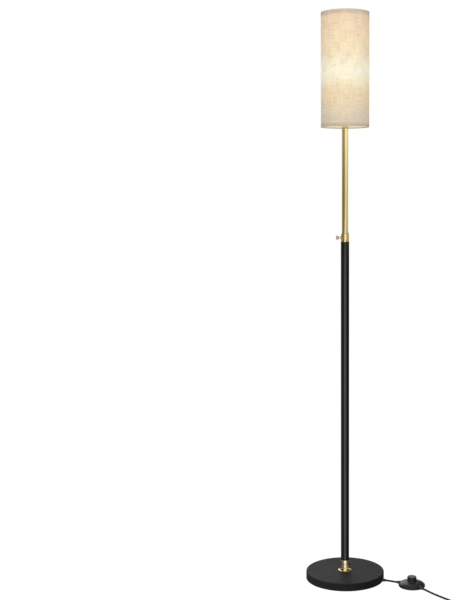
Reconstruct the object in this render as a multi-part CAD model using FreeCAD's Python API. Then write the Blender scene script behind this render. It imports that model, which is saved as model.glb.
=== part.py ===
import FreeCAD, Part
import math
import os

from FreeCAD import Vector, Rotation, Placement

os.makedirs("parts", exist_ok=True)

# Telescopic floor lamp with a tall drum shade, a plated upper pole that slides in a black lower
# pole, a round weighted base and a foot switch on the cord.
# Millimetres. Origin on the floor under the middle of the base, +Z up. -Y is the front, and the
# clamp screw points to -X.

# ---------------------------------------------------------------- driving dimensions
# base
BASE_R = 117.5            # outer radius of the base cover
BASE_TOP = 24.4           # height of the base's top face
BASE_EDGE = 2.6           # rounding of the top edge
COVER_T = 1.0             # sheet thickness of the cover
COVER_LOW = 1.4           # lower edge of the cover, just off the floor
PAD_T = 3.0               # thickness of the soft pad under the base
PAD_R = 113.0
WEIGHT_R = 114.5
WEIGHT_LOW = 11.0         # underside of the weight's plate
WEIGHT_RIM = 104.0        # inner radius of the weight's rim
NIPPLE_R = 4.9            # threaded tube, M10 fine
NIPPLE_BORE = 3.5

# coupling between base and pole
COUPLING_TOP = 57.5
COUPLING_FLANGE_R = 20.3

# poles
LOWER_R = 12.5            # 25 mm tube
LOWER_T = 1.0
POLE_JOINT_Z = 538.0      # hairline joint between the two sections of the lower pole
LOWER_TOP = 1019.6
UPPER_R = 9.5             # 19 mm tube
UPPER_T = 0.8
UPPER_TOP = 1390.0
UPPER_LOW = 914.0

# collar and clamp
COLLAR_R = 12.15
COLLAR_TOP = 1044.0
COLLAR_LIP_R = 12.65
SPIGOT_LOW = 972.0
BUSH_TOP = 1049.3
RUN_CLEARANCE = 0.05      # radial clearance of the sliding and turning fits
SCREW_Z = 1031.5          # height of the clamp screw
SCREW_R = 2.5             # M5
SCREW_HEAD_R = 6.3
SCREW_HEAD_OUT = 26.8     # outer end of the head, from the pole's axis
SCREW_HEAD_L = 7.5
BOSS_OUT = 18.5

# shade
SHADE_R = 70.2
SHADE_LOW = 1352.7
SHADE_TOP = 1680.6
FABRIC_T = 0.5
LINER_T = 0.4
HEM_H = 11.0
HEM_T = 0.3
RING_R = 67.8             # centre line of the wire rings
RING_WIRE_R = 1.2
ARM_WIRE_R = 1.5
FITTER_Z = 1418.0         # underside of the shade's fitter ring

# lampholder and bulb
HOLDER_LOW = 1394.0
HOLDER_R = 19.6
HOLDER_TOP = 1446.0
BULB_TIP = 1416.5
BULB_R = 30.0
BULB_TOP = 1527.0

# foot switch
SWITCH_X, SWITCH_Y = 198.3, -64.5
SWITCH_R = 39.4
SWITCH_DOME = 17.2        # height of the dome at its middle
BUTTON_R = 13.8
BUTTON_TOP = 29.9
PORT_IN_DEG = 158.0       # where the cord from the base comes in
PORT_OUT_DEG = -50.0      # where the cord to the plug leaves
PORT_Z = 5.6
PORT_TIP = 47.0           # outer end of the strain reliefs, from the switch's middle

# cord
CORD_D = 5.8
GRIP_R = CORD_D / 2 + 0.08   # bore of the strain reliefs
LEAD_D = 3.8              # the two cores inside the poles, as one round lead
FLOOR_Z = CORD_D / 2 + 0.05
EXIT_DEG = -16.0          # where the cord leaves the base
EXIT_Z = 6.2
EXIT_TIP = 127.0

COIL_X, COIL_Y = 313.9, -264.6
COIL_OUT = 46.2
COIL_IN = 21.2
COIL_H = 11.75
TIE_DEG = 150.0

# The cord's route on the floor, from the base to the switch.
ROUTE_1 = [
    (103.8, -29.8, 6.2),
    (122.5, -35.1, 6.2),
    (143.5, -42.4, 5.5),
    (166.8, -51.8, 5.6),
]
# From the switch to where the coil's first turn starts.
ROUTE_2 = [
    (220.8, -91.3, 5.6),
    (233.2, -105.9, 5.5),
    (249.4, -124.6, 3.3),
    (272.0, -151.6, 2.95),
    (301.5, -184.9, 2.95),
    (326.0, -213.6, 2.95),
    (346.3, -236.0, 2.95),
]
# From the coil's last turn to the plug.
ROUTE_3 = [
    (313.9, -307.6, 8.75),
    (291.5, -307.9, 7.6),
    (271.0, -306.8, 5.2),
    (252.5, -304.9, 6.2),
    (232.0, -302.1, 7.6),
]
PLUG_TIP = (240.0, -303.2, 7.2)   # outer end of the plug's strain relief
PLUG_DEG = 172.2                  # the way the plug points, seen from above

nodes = {}


# ---------------------------------------------------------------- helpers
def corner_wire(points, to3d):
    """A closed wire through points (a, b) or (a, b, r); a corner with r is rounded to that radius."""
    n = len(points)
    ends = []
    for i in range(n):
        a = points[i - 1][:2]
        b = points[i][:2]
        c = points[(i + 1) % n][:2]
        r = points[i][2] if len(points[i]) > 2 else 0.0
        if not r:
            ends.append((b, None, b))
            continue
        ua = (a[0] - b[0], a[1] - b[1])
        uc = (c[0] - b[0], c[1] - b[1])
        la, lc = math.hypot(*ua), math.hypot(*uc)
        ua, uc = (ua[0] / la, ua[1] / la), (uc[0] / lc, uc[1] / lc)
        angle = math.acos(max(-1.0, min(1.0, ua[0] * uc[0] + ua[1] * uc[1])))
        t = r / math.tan(angle / 2)
        bis = (ua[0] + uc[0], ua[1] + uc[1])
        lb = math.hypot(*bis)
        bis = (bis[0] / lb, bis[1] / lb)
        far = r / math.sin(angle / 2) - r
        ends.append((
            (b[0] + ua[0] * t, b[1] + ua[1] * t),
            (b[0] + bis[0] * far, b[1] + bis[1] * far),
            (b[0] + uc[0] * t, b[1] + uc[1] * t),
        ))
    edges = []
    for i in range(n):
        first, middle, last = ends[i]
        if middle is not None:
            edges.append(Part.Arc(to3d(*first), to3d(*middle), to3d(*last)).toShape())
        following = ends[(i + 1) % n][0]
        if math.hypot(following[0] - last[0], following[1] - last[1]) > 1e-7:
            edges.append(Part.LineSegment(to3d(*last), to3d(*following)).toShape())
    return Part.Wire(edges)


def lathe(points, x=0.0, y=0.0):
    """A solid of revolution about a vertical axis through (x, y), from a section in (radius, z)."""
    face = Part.Face(corner_wire(points, lambda a, b: Vector(a, 0, b)))
    solid = face.revolve(Vector(0, 0, 0), Vector(0, 0, 1), 360)
    solid.translate(Vector(x, y, 0))
    return solid


def ring(r_in, r_out, z_low, z_high):
    return lathe([(r_in, z_low), (r_out, z_low), (r_out, z_high), (r_in, z_high)])


def disc(r, z_low, z_high, x=0.0, y=0.0):
    return Part.makeCylinder(r, z_high - z_low, Vector(x, y, z_low))


def prism(points, z_low, z_high):
    """An upright prism from an outline in (x, y)."""
    face = Part.Face(corner_wire(points, lambda a, b: Vector(a, b, z_low)))
    return face.extrude(Vector(0, 0, z_high - z_low))


def hexagon(across, z_low, z_high):
    r = across / math.sqrt(3)
    return prism([(r * math.cos(math.radians(60 * i)), r * math.sin(math.radians(60 * i))) for i in range(6)], z_low, z_high)


def aim(shape, direction, origin):
    """Turns a shape built along +Z to point along direction, and moves its origin."""
    placed = shape.copy()
    placed.Placement = Placement(Vector(*origin), Rotation(Vector(0, 0, 1), Vector(*direction)))
    return placed


def polar(r, degrees, z, x=0.0, y=0.0):
    return (x + r * math.cos(math.radians(degrees)), y + r * math.sin(math.radians(degrees)), z)


def heading(degrees):
    return (math.cos(math.radians(degrees)), math.sin(math.radians(degrees)), 0.0)


def route_tube(points, d, label):
    """A round tube along straight runs joined by tangent arcs."""
    pts = [Vector(*p) for p in points]
    edges, radii, length = [], [], 0.0
    cursor = pts[0]
    for i in range(1, len(pts) - 1):
        u = pts[i - 1] - pts[i]
        w = pts[i + 1] - pts[i]
        run = min(u.Length, w.Length)
        u.normalize()
        w.normalize()
        half = (math.pi - u.getAngle(w)) / 2
        t = 0.45 * run
        r = t / math.tan(half)
        bisector = u + w
        bisector.normalize()
        centre = pts[i] + bisector * (r / math.cos(half))
        first, middle, last = pts[i] + u * t, centre - bisector * r, pts[i] + w * t
        edges.append(Part.LineSegment(cursor, first).toShape())
        edges.append(Part.Arc(first, middle, last).toShape())
        length += (first - cursor).Length + 2 * half * r
        radii.append(r)
        cursor = last
    edges.append(Part.LineSegment(cursor, pts[-1]).toShape())
    length += (pts[-1] - cursor).Length
    path = Part.Wire(edges)
    start = pts[1] - pts[0]
    start.normalize()
    section = Part.Wire([Part.makeCircle(d / 2, pts[0], start)])
    tube = path.makePipeShell([section], True, False)
    if tube.ShapeType != "Solid":
        tube = Part.Solid(tube)
    ratio = tube.Volume / (math.pi * d * d / 4 * length)
    shown = radii if len(radii) < 12 else [min(radii), max(radii)]
    print("%s: length %.1f, radii %s, volume ratio %.4f" % (label, length, " ".join("%.0f" % r for r in shown), ratio))
    return tube


# ---------------------------------------------------------------- base
exit_way = heading(EXIT_DEG)
groove = Part.makeBox(24.0, 13.0, 11.0, Vector(96.0, -6.5, 2.0))
groove.rotate(Vector(0, 0, 0), Vector(0, 0, 1), EXIT_DEG)

cover = lathe([
    (5.1, BASE_TOP - COVER_T),
    (BASE_R - COVER_T, BASE_TOP - COVER_T, BASE_EDGE - COVER_T),
    (BASE_R - COVER_T, COVER_LOW),
    (BASE_R, COVER_LOW),
    (BASE_R, BASE_TOP, BASE_EDGE),
    (5.1, BASE_TOP),
])
notch = Part.makeBox(10.0, 9.2, EXIT_Z, Vector(112.0, -4.6, 0.0)).fuse(
    Part.makeCylinder(4.6, 10.0, Vector(112.0, 0, EXIT_Z), Vector(1, 0, 0)))
notch.rotate(Vector(0, 0, 0), Vector(0, 0, 1), EXIT_DEG)
nodes["base_cover"] = cover.cut(notch)

weight = lathe([
    (NIPPLE_R, 16.0),
    (18.0, 16.0),
    (18.0, WEIGHT_LOW),
    (WEIGHT_RIM, WEIGHT_LOW, 2.0),
    (WEIGHT_RIM, PAD_T),
    (WEIGHT_R, PAD_T),
    (WEIGHT_R, BASE_TOP - COVER_T, 3.0),
    (NIPPLE_R, BASE_TOP - COVER_T),
])
nodes["base_weight"] = weight.cut(groove)

# The pad is cut away round the strain relief.
pad_notch = Part.makeBox(14.0, 12.4, 6.0, Vector(102.0, -6.2, -1.0))
pad_notch.rotate(Vector(0, 0, 0), Vector(0, 0, 1), EXIT_DEG)
nodes["base_pad"] = lathe([(0.0, 0.0), (PAD_R, 0.0, 0.8), (PAD_R, PAD_T), (0.0, PAD_T)]).cut(pad_notch)
nodes["base_washer"] = ring(NIPPLE_R, 14.0, 14.8, 16.0)
lock_washer = ring(NIPPLE_R, 8.6, 13.4, 14.8)
nodes["base_lock_washer"] = lock_washer.cut(Part.makeBox(8.0, 1.0, 3.0, Vector(3.0, -0.5, 12.8)))
nodes["base_nut"] = hexagon(17.0, 8.9, 13.4).cut(disc(NIPPLE_R, 8.0, 14.0))
nodes["base_nipple"] = ring(NIPPLE_BORE, NIPPLE_R, 9.6, 74.0)

nodes["base_coupling"] = lathe([
    (NIPPLE_R, BASE_TOP),
    (COUPLING_FLANGE_R, BASE_TOP),
    (COUPLING_FLANGE_R, 26.6, 0.7),
    (17.6, 27.5, 2.0),
    (15.2, 32.5, 10.0),
    (13.7, 43.5, 40.0),
    (12.7, COUPLING_TOP, 0.6),
    (NIPPLE_R, COUPLING_TOP),
])

# The cord's strain relief: a tail in the base, a neck in the cover's notch and a short taper outside.
bushing = lathe([
    (GRIP_R, 104.5),
    (4.4, 104.5, 0.6),
    (4.4, 113.6),
    (5.5, 113.6, 0.5),
    (5.5, 116.4),
    (4.4, 116.4),
    (4.4, BASE_R + 0.1),
    (5.0, BASE_R + 0.1, 0.4),
    (4.9, 119.7, 0.8),
    (3.7, EXIT_TIP, 0.2),
    (GRIP_R + 0.2, EXIT_TIP),
    (GRIP_R, 117.0),
])
nodes["cord_bushing"] = aim(bushing, exit_way, (0, 0, EXIT_Z))

# ---------------------------------------------------------------- lower pole
inner_lower = LOWER_R - LOWER_T
nodes["pole_bottom_insert"] = lathe([
    (NIPPLE_R, COUPLING_TOP + 0.01),
    (inner_lower, COUPLING_TOP + 0.01, 0.5),
    (inner_lower, 75.0, 0.8),
    (NIPPLE_R, 75.0),
])
nodes["lower_pole_bottom_section"] = lathe([
    (inner_lower, COUPLING_TOP),
    (LOWER_R, COUPLING_TOP, 0.3),
    (LOWER_R, POLE_JOINT_Z - 0.02, 0.15),
    (inner_lower, POLE_JOINT_Z - 0.02),
])
nodes["pole_joiner_stud"] = lathe([
    (4.0, 516.0),
    (inner_lower, 516.0, 0.8),
    (inner_lower, POLE_JOINT_Z - 0.02),
    (7.0, POLE_JOINT_Z - 0.02),
    (7.0, 552.0, 0.8),
    (4.0, 552.0),
])
nodes["pole_joiner_socket"] = lathe([
    (7.0, POLE_JOINT_Z),
    (inner_lower, POLE_JOINT_Z),
    (inner_lower, 558.0, 0.8),
    (4.0, 558.0),
    (4.0, 553.0),
    (7.0, 553.0),
])
nodes["lower_pole_top_section"] = lathe([
    (inner_lower, POLE_JOINT_Z),
    (LOWER_R, POLE_JOINT_Z, 0.15),
    (LOWER_R, LOWER_TOP, 0.2),
    (inner_lower, LOWER_TOP),
])

# ---------------------------------------------------------------- collar, guide bush and clamp
bush_in = UPPER_R + RUN_CLEARANCE
bush_out = 10.6
collar = lathe([
    (bush_out, 985.0),
    (inner_lower, 985.0, 0.4),
    (inner_lower, LOWER_TOP),
    (COLLAR_LIP_R, LOWER_TOP, 0.3),
    (COLLAR_LIP_R, LOWER_TOP + 1.3, 0.6),
    (COLLAR_R, LOWER_TOP + 3.9, 2.0),
    (COLLAR_R, COLLAR_TOP, 2.0),
    (bush_out, COLLAR_TOP),
])
boss = aim(lathe([(0.0, 9.0), (4.6, 9.0), (4.2, 13.5, 1.0), (4.1, BOSS_OUT, 0.5), (0.0, BOSS_OUT)]), (-1, 0, 0), (0, 0, SCREW_Z))
boss = boss.cut(disc(bush_out, SCREW_Z - 10, SCREW_Z + 10))
screw_hole = Part.makeCylinder(SCREW_R + 0.06, 24.0, Vector(0, 0, SCREW_Z), Vector(-1, 0, 0))
nodes["pole_collar"] = collar.fuse(boss).cut(screw_hole).removeSplitter()

guide = lathe([
    (bush_in, SPIGOT_LOW, 0.2),
    (bush_out, SPIGOT_LOW, 0.2),
    (bush_out, 984.0),
    (inner_lower - 0.05, 984.0),
    (inner_lower - 0.05, 985.0),
    (bush_out, 985.0),
    (bush_out, COLLAR_TOP),
    (10.05, COLLAR_TOP),
    (10.05, BUSH_TOP, 0.3),
    (bush_in, BUSH_TOP),
])
nodes["guide_bush"] = guide.cut(screw_hole)

# The pad between screw and tube, hollowed to the tube's radius with a hair of clearance.
pad = Part.makeCylinder(SCREW_R - 0.05, 6.0, Vector(-8.0, 0, SCREW_Z), Vector(-1, 0, 0))
nodes["clamp_pad"] = pad.cut(disc(UPPER_R + 0.08, SCREW_Z - 6, SCREW_Z + 6))

head_in = SCREW_HEAD_OUT - SCREW_HEAD_L
screw = lathe([
    (0.0, 14.06),
    (SCREW_R, 14.06, 0.6),
    (SCREW_R, head_in - 0.4),
    (3.6, head_in - 0.4, 0.3),
    (3.6, head_in),
    (SCREW_HEAD_R, head_in, 0.8),
    (SCREW_HEAD_R, SCREW_HEAD_OUT, 0.9),
    (3.4, SCREW_HEAD_OUT, 0.3),
    (2.8, SCREW_HEAD_OUT - 0.5, 0.3),
    (0.0, SCREW_HEAD_OUT - 0.5),
])
TEETH = 30
flutes = []
for i in range(TEETH):
    a = 360.0 * i / TEETH
    cutter = Part.makeCylinder(0.42, SCREW_HEAD_L - 1.8, Vector(SCREW_HEAD_R + 0.12, 0, head_in + 0.9))
    cutter.rotate(Vector(0, 0, 0), Vector(0, 0, 1), a)
    flutes.append(cutter)
screw = screw.cut(flutes)
nodes["thumbscrew"] = aim(screw, (-1, 0, 0), (0, 0, SCREW_Z))

# ---------------------------------------------------------------- upper pole
inner_upper = UPPER_R - UPPER_T
nodes["end_bush"] = lathe([
    (6.5 + RUN_CLEARANCE, 896.4, 0.4),
    (inner_lower - 0.08, 896.4, 0.9),
    (inner_lower - 0.08, 911.6, 0.9),
    (6.5 + RUN_CLEARANCE, 911.6, 0.4),
])
nodes["end_ferrule"] = lathe([
    (4.0, 894.0),
    (9.4, 894.0, 0.4),
    (9.4, 896.0, 0.4),
    (6.5, 896.0),
    (6.5, 912.0),
    (UPPER_R, 912.0, 0.3),
    (UPPER_R, UPPER_LOW),
    (inner_upper, UPPER_LOW),
    (inner_upper, 930.0, 0.6),
    (4.0, 930.0),
])
nodes["upper_pole"] = lathe([
    (inner_upper, UPPER_LOW),
    (UPPER_R, UPPER_LOW),
    (UPPER_R, UPPER_TOP, 0.3),
    (inner_upper, UPPER_TOP),
])
nodes["top_insert"] = lathe([
    (NIPPLE_R, UPPER_TOP - 18.0),
    (inner_upper, UPPER_TOP - 18.0, 0.8),
    (inner_upper, UPPER_TOP),
    (NIPPLE_R, UPPER_TOP),
])
nodes["top_nipple"] = ring(NIPPLE_BORE, NIPPLE_R, UPPER_TOP - 16.0, HOLDER_LOW + 8.0)
nodes["top_lock_nut"] = hexagon(15.0, UPPER_TOP, HOLDER_LOW).cut(disc(NIPPLE_R, UPPER_TOP - 1, HOLDER_LOW + 1))

# ---------------------------------------------------------------- lampholder
nodes["lampholder_cap"] = lathe([
    (NIPPLE_R, HOLDER_LOW),
    (13.0, HOLDER_LOW, 1.5),
    (HOLDER_R - 0.6, 1401.0, 3.0),
    (HOLDER_R - 0.6, 1412.0),
    (17.0, 1412.0),
    (17.0, 1402.5, 1.0),
    (11.0, 1398.0),
    (NIPPLE_R, 1398.0),
])
# The skirt has a shoulder that the shade's fitter ring rests on, and a coarse outer thread above it.
skirt = [(17.0, 1412.0), (24.5, 1412.0, 1.0), (24.5, FITTER_Z), (HOLDER_R, FITTER_Z)]
z = FITTER_Z + 1.7
while z < HOLDER_TOP - 3.0:
    skirt += [(HOLDER_R, z), (HOLDER_R - 0.75, z + 0.8), (HOLDER_R - 0.75, z + 1.2), (HOLDER_R, z + 2.0)]
    z += 2.5
skirt += [(HOLDER_R, HOLDER_TOP, 0.8), (17.0, HOLDER_TOP, 0.6)]
nodes["lampholder_skirt"] = lathe(skirt)
core = lathe([(0.0, 1404.0), (15.0, 1404.0, 1.0), (16.9, 1406.0), (16.9, 1412.5), (16.9, 1414.0), (0.0, 1414.0)])
core = core.cut(Part.makeBox(5.0, 9.0, 20.0, Vector(-2.5, -4.5, 1400.0)))
for side in (-1, 1):
    core = core.cut(Part.makeCylinder(1.7, 12.0, Vector(side * 10.5, 0, 1403.0)))
nodes["lampholder_core"] = core
nodes["lampholder_screw_shell"] = lathe([
    (8.0, 1414.0),
    (13.75, 1414.0, 0.9),
    (13.75, 1442.5),
    (13.35, 1442.5),
    (13.35, 1414.4, 0.5),
    (8.0, 1414.4),
])
contact = prism([(-2.4, -4.4), (2.4, -4.4), (2.4, 4.4), (-2.4, 4.4)], 1412.4, 1412.9)
tongue = prism([(-2.0, -4.0), (2.0, -4.0), (2.0, 4.0), (-2.0, 4.0)], 1415.6, 1416.1)
post = prism([(-2.0, 3.4), (2.0, 3.4), (2.0, 4.0), (-2.0, 4.0)], 1412.4, 1416.1)
nodes["lampholder_center_contact"] = contact.fuse(tongue).fuse(post).removeSplitter()
terminals = []
for side in (-1, 1):
    body = lathe([(0.0, 1403.0), (3.0, 1403.0, 0.3), (3.0, 1404.0), (1.7, 1404.0), (1.7, 1411.5), (0.0, 1411.5)], side * 10.5, 0.0)
    terminals.append(body.cut(Part.makeBox(7.0, 0.7, 0.6, Vector(side * 10.5 - 3.5, -0.35, 1402.8))))
nodes["lampholder_terminal_screws"] = Part.makeCompound(terminals)

nut = lathe([(HOLDER_R, FITTER_Z + 1.5), (27.0, FITTER_Z + 1.5, 0.6), (27.0, FITTER_Z + 8.0, 1.2), (21.5, FITTER_Z + 8.0, 0.6), (21.0, FITTER_Z + 6.0), (HOLDER_R, FITTER_Z + 6.0)])
grips = []
for i in range(18):
    grip = Part.makeCylinder(1.1, 12.0, Vector(27.6, 0, FITTER_Z))
    grip.rotate(Vector(0, 0, 0), Vector(0, 0, 1), 20.0 * i)
    grips.append(grip)
nodes["shade_ring_nut"] = nut.cut(grips)

# ---------------------------------------------------------------- shade
nodes["shade_fabric"] = ring(SHADE_R - FABRIC_T, SHADE_R, SHADE_LOW, SHADE_TOP)
liner_out = SHADE_R - FABRIC_T
nodes["shade_liner"] = ring(liner_out - LINER_T, liner_out, SHADE_LOW + 0.4, SHADE_TOP - 0.4)
hem_out = liner_out - LINER_T
nodes["shade_hems"] = Part.makeCompound([
    ring(hem_out - HEM_T, hem_out, SHADE_LOW + 0.4, SHADE_LOW + HEM_H),
    ring(hem_out - HEM_T, hem_out, SHADE_TOP - HEM_H, SHADE_TOP - 0.4),
])
nodes["shade_top_ring"] = Part.makeTorus(RING_R, RING_WIRE_R, Vector(0, 0, SHADE_TOP - 2.0))

ARM_DEGREES = (90.0, 210.0, 330.0)
low_ring_z = SHADE_LOW + 2.0
spider = ring(HOLDER_R + 0.1, 27.5, FITTER_Z, FITTER_Z + 1.5)
spider = spider.fuse(Part.makeTorus(RING_R, RING_WIRE_R, Vector(0, 0, low_ring_z)))
for a in ARM_DEGREES:
    first = Vector(*polar(26.0, a, FITTER_Z - 0.2))
    last = Vector(*polar(RING_R - 1.0, a, low_ring_z + 0.6))
    way = last - first
    arm = Part.makeCylinder(ARM_WIRE_R, way.Length, first, way)
    arm = arm.fuse(Part.makeSphere(ARM_WIRE_R, last))
    arm = arm.fuse(Part.makeSphere(ARM_WIRE_R, first))
    spider = spider.fuse(arm)
spider = spider.cut(disc(HOLDER_R + 0.1, FITTER_Z - 6, FITTER_Z + 6))
spider = spider.cut(ring(HOLDER_R, 24.5, FITTER_Z - 8.0, FITTER_Z)).cut(ring(HOLDER_R, 30.0, FITTER_Z + 1.5, FITTER_Z + 6.0))
spider = spider.common(disc(hem_out - HEM_T, SHADE_LOW, FITTER_Z + 10.0))
nodes["shade_spider"] = spider.removeSplitter()

# ---------------------------------------------------------------- bulb
cap = [(0.0, 1421.0), (9.0, 1421.0), (12.2, 1422.0)]
z = 1423.0
while z < 1439.5:
    cap += [(12.2, z, 0.5), (13.1, z + 1.8, 0.7)]
    z += 3.6
cap += [(12.6, 1441.4, 0.4), (13.0, 1445.0), (12.4, 1445.0), (12.0, 1441.0), (0.0, 1441.0)]
nodes["bulb_cap"] = lathe(cap)
nodes["bulb_insulator"] = lathe([(0.0, 1418.4), (5.0, 1418.4, 0.4), (9.0, 1421.0), (0.0, 1421.0)])
nodes["bulb_tip"] = lathe([(0.0, BULB_TIP), (3.0, BULB_TIP, 0.9), (4.6, 1418.4), (0.0, 1418.4)])
nodes["bulb_body"] = lathe([
    (0.0, 1441.0), (12.0, 1441.0), (12.4, 1445.0), (13.4, 1445.0, 0.6), (16.0, 1450.0, 6.0), (24.6, 1466.0, 10.0), (27.4, 1474.0, 0.8),
    (25.4, 1474.0), (14.0, 1455.0), (0.0, 1455.0)])
nodes["bulb_led_board"] = disc(24.0, 1471.6, 1473.2)
globe_z = BULB_TOP - BULB_R
edge = []
for i in range(0, 25):
    a = math.radians(-50.0 + 140.0 * i / 24)
    edge.append((BULB_R * math.cos(a) if i < 24 else 0.0, globe_z + BULB_R * math.sin(a)))
outer = Part.BSplineCurve()
outer.interpolate([Vector(26.0, 0, 1474.0), Vector(27.6, 0, 1479.0), Vector(29.0, 0, 1486.0), Vector(29.9, 0, 1494.0), Vector(29.9, 0, 1500.5),
                   Vector(28.9, 0, 1507.5), Vector(26.0, 0, 1514.5), Vector(21.0, 0, 1520.6), Vector(14.0, 0, 1524.9), Vector(7.0, 0, 1526.6), Vector(0, 0, BULB_TOP)])
inner = Part.BSplineCurve()
inner.interpolate([Vector(24.8, 0, 1474.0), Vector(26.4, 0, 1479.3), Vector(27.8, 0, 1486.3), Vector(28.7, 0, 1494.0), Vector(28.7, 0, 1500.2),
                   Vector(27.8, 0, 1506.9), Vector(25.0, 0, 1513.6), Vector(20.2, 0, 1519.5), Vector(13.5, 0, 1523.7), Vector(6.8, 0, 1525.4), Vector(0, 0, BULB_TOP - 1.2)])
globe_wire = Part.Wire([
    outer.toShape(),
    Part.LineSegment(Vector(0, 0, BULB_TOP), Vector(0, 0, BULB_TOP - 1.2)).toShape(),
    inner.toShape(),
    Part.LineSegment(Vector(24.8, 0, 1474.0), Vector(26.0, 0, 1474.0)).toShape(),
])
nodes["bulb_globe"] = Part.Face(globe_wire).revolve(Vector(0, 0, 0), Vector(0, 0, 1), 360)

# ---------------------------------------------------------------- leads inside the poles
lead_r = LEAD_D / 2
BEND_R = 7.0
ex = Vector(*exit_way)
top_point = Vector(0, 0, 560.0)
turn_start = Vector(0, 0, EXIT_Z + BEND_R)
turn_centre = turn_start + ex * BEND_R
turn_mid = turn_centre + (ex * -1 + Vector(0, 0, -1)) * (BEND_R / math.sqrt(2))
turn_end = turn_centre + Vector(0, 0, -BEND_R)
lead_end = ex * 108.0 + Vector(0, 0, EXIT_Z)
lead_path = Part.Wire([
    Part.LineSegment(top_point, turn_start).toShape(),
    Part.Arc(turn_start, turn_mid, turn_end).toShape(),
    Part.LineSegment(turn_end, lead_end).toShape(),
])
lead = lead_path.makePipeShell([Part.Wire([Part.makeCircle(lead_r, top_point, Vector(0, 0, -1))])], True, False)
nodes["lead_lower"] = lead
nodes["lead_slack"] = disc(lead_r, 560.0, 894.0)
nodes["lead_upper"] = disc(lead_r, 894.0, 1404.0)

# ---------------------------------------------------------------- foot switch
SX, SY = SWITCH_X, SWITCH_Y
feet = []
for a in (25, 100, 225, 288):
    foot = lathe([(0.0, 0.0), (4.0, 0.0, 0.3), (4.0, 1.0), (0.0, 1.0)])
    foot.translate(Vector(*polar(28.0, a, 0.0, SX, SY)))
    feet.append(foot)
nodes["switch_foot_pads"] = Part.makeCompound(feet)


def dome(r):
    return 3.6 + (SWITCH_DOME - 3.6) * math.sqrt(max(0.0, 1 - (r / SWITCH_R) ** 2))


hole = BUTTON_R + 0.4
outer_pts = [Vector(r, 0, dome(r)) for r in (hole, 18.0, 23.0, 28.0, 32.0, 35.0, 37.0, SWITCH_R)]
inner_pts = [Vector(p.x * 0.947, 0, p.z - 2.0) for p in outer_pts]
inner_pts[0] = Vector(hole, 0, inner_pts[0].z)
inner_pts[-1] = Vector(SWITCH_R - 1.6, 0, 3.05)
outer_curve = Part.BSplineCurve()
outer_curve.interpolate(outer_pts)
inner_curve = Part.BSplineCurve()
inner_curve.interpolate(inner_pts)
shell = Part.Wire([
    outer_curve.toShape(),
    Part.LineSegment(outer_pts[-1], Vector(SWITCH_R, 0, 1.6)).toShape(),
    Part.LineSegment(Vector(SWITCH_R, 0, 1.6), Vector(SWITCH_R - 0.6, 0, 1.0)).toShape(),
    Part.LineSegment(Vector(SWITCH_R - 0.6, 0, 1.0), Vector(SWITCH_R - 1.6, 0, 1.0)).toShape(),
    Part.LineSegment(Vector(SWITCH_R - 1.6, 0, 1.0), inner_pts[-1]).toShape(),
    inner_curve.toShape(),
    Part.LineSegment(inner_pts[0], outer_pts[0]).toShape(),
])
housing = Part.Face(shell).revolve(Vector(0, 0, 0), Vector(0, 0, 1), 360)
# A low lip stands round the button's hole.
housing = housing.fuse(lathe([(hole, 13.0), (hole, dome(hole) + 1.25, 0.35), (hole + 1.2, dome(hole + 1.2) + 1.1, 0.7), (hole + 2.2, dome(hole + 2.2) - 0.7)]))
for a in (PORT_IN_DEG, PORT_OUT_DEG):
    way = Vector(*heading(a))
    boss = Part.makeCylinder(5.6, 9.5, way * 29.5 + Vector(0, 0, PORT_Z), way)
    boss = boss.common(Part.makeBox(200, 200, 40, Vector(-100, -100, 1.0)))
    housing = housing.fuse(boss)
for a in (PORT_IN_DEG, PORT_OUT_DEG):
    way = Vector(*heading(a))
    housing = housing.cut(Part.makeCylinder(4.5, 20.0, way * 24.0 + Vector(0, 0, PORT_Z), way))
    housing = housing.cut(Part.makeCylinder(5.1, 5.35, way * 24.0 + Vector(0, 0, PORT_Z), way))
screw_spots = [polar(24.0, a, 0.0) for a in (60, 190, 262, 345)]
for sx, sy, _ in screw_spots:
    post = Part.makeCylinder(3.0, 8.5, Vector(sx, sy, 3.05))
    housing = housing.fuse(post)
for sx, sy, _ in screw_spots:
    housing = housing.cut(Part.makeCylinder(1.2, 7.0, Vector(sx, sy, 2.0)))
housing = housing.removeSplitter()
housing.translate(Vector(SX, SY, 0))
nodes["switch_housing"] = housing

plate = lathe([(0.0, 1.0), (SWITCH_R - 1.7, 1.0), (SWITCH_R - 1.7, 3.0), (0.0, 3.0)])
for a in (PORT_IN_DEG, PORT_OUT_DEG):
    way = Vector(*heading(a))
    plate = plate.cut(Part.makeCylinder(5.7, 22.0, way * 26.0 + Vector(0, 0, PORT_Z), way))
for sx, sy, _ in screw_spots:
    plate = plate.cut(Part.makeCylinder(1.3, 4.0, Vector(sx, sy, 0.0)))
plate.translate(Vector(SX, SY, 0))
nodes["switch_base_plate"] = plate

block = prism([(-15, -9.5, 2), (15, -9.5, 2), (15, 9.5, 2), (-15, 9.5, 2)], 3.0, 6.8)
block = block.fuse(prism([(-7.0, -6.5, 1.5), (7.0, -6.5, 1.5), (7.0, 6.5, 1.5), (-7.0, 6.5, 1.5)], 6.8, 12.0))
block.translate(Vector(SX, SY, 0))
nodes["switch_contact_block"] = block

# Compression spring of five turns, each a ring of short arcs.
spring_z, spring_top, spring_turns, per_turn = 12.55, 26.9, 5, 10
winding = []
for i in range(spring_turns * per_turn + 1):
    winding.append(polar(5.2, 360.0 * i / per_turn, spring_z + (spring_top - spring_z) * i / (spring_turns * per_turn)))
spring = route_tube(winding, 0.9, "switch_spring")
spring.translate(Vector(SX, SY, 0))
nodes["switch_spring"] = spring

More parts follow.
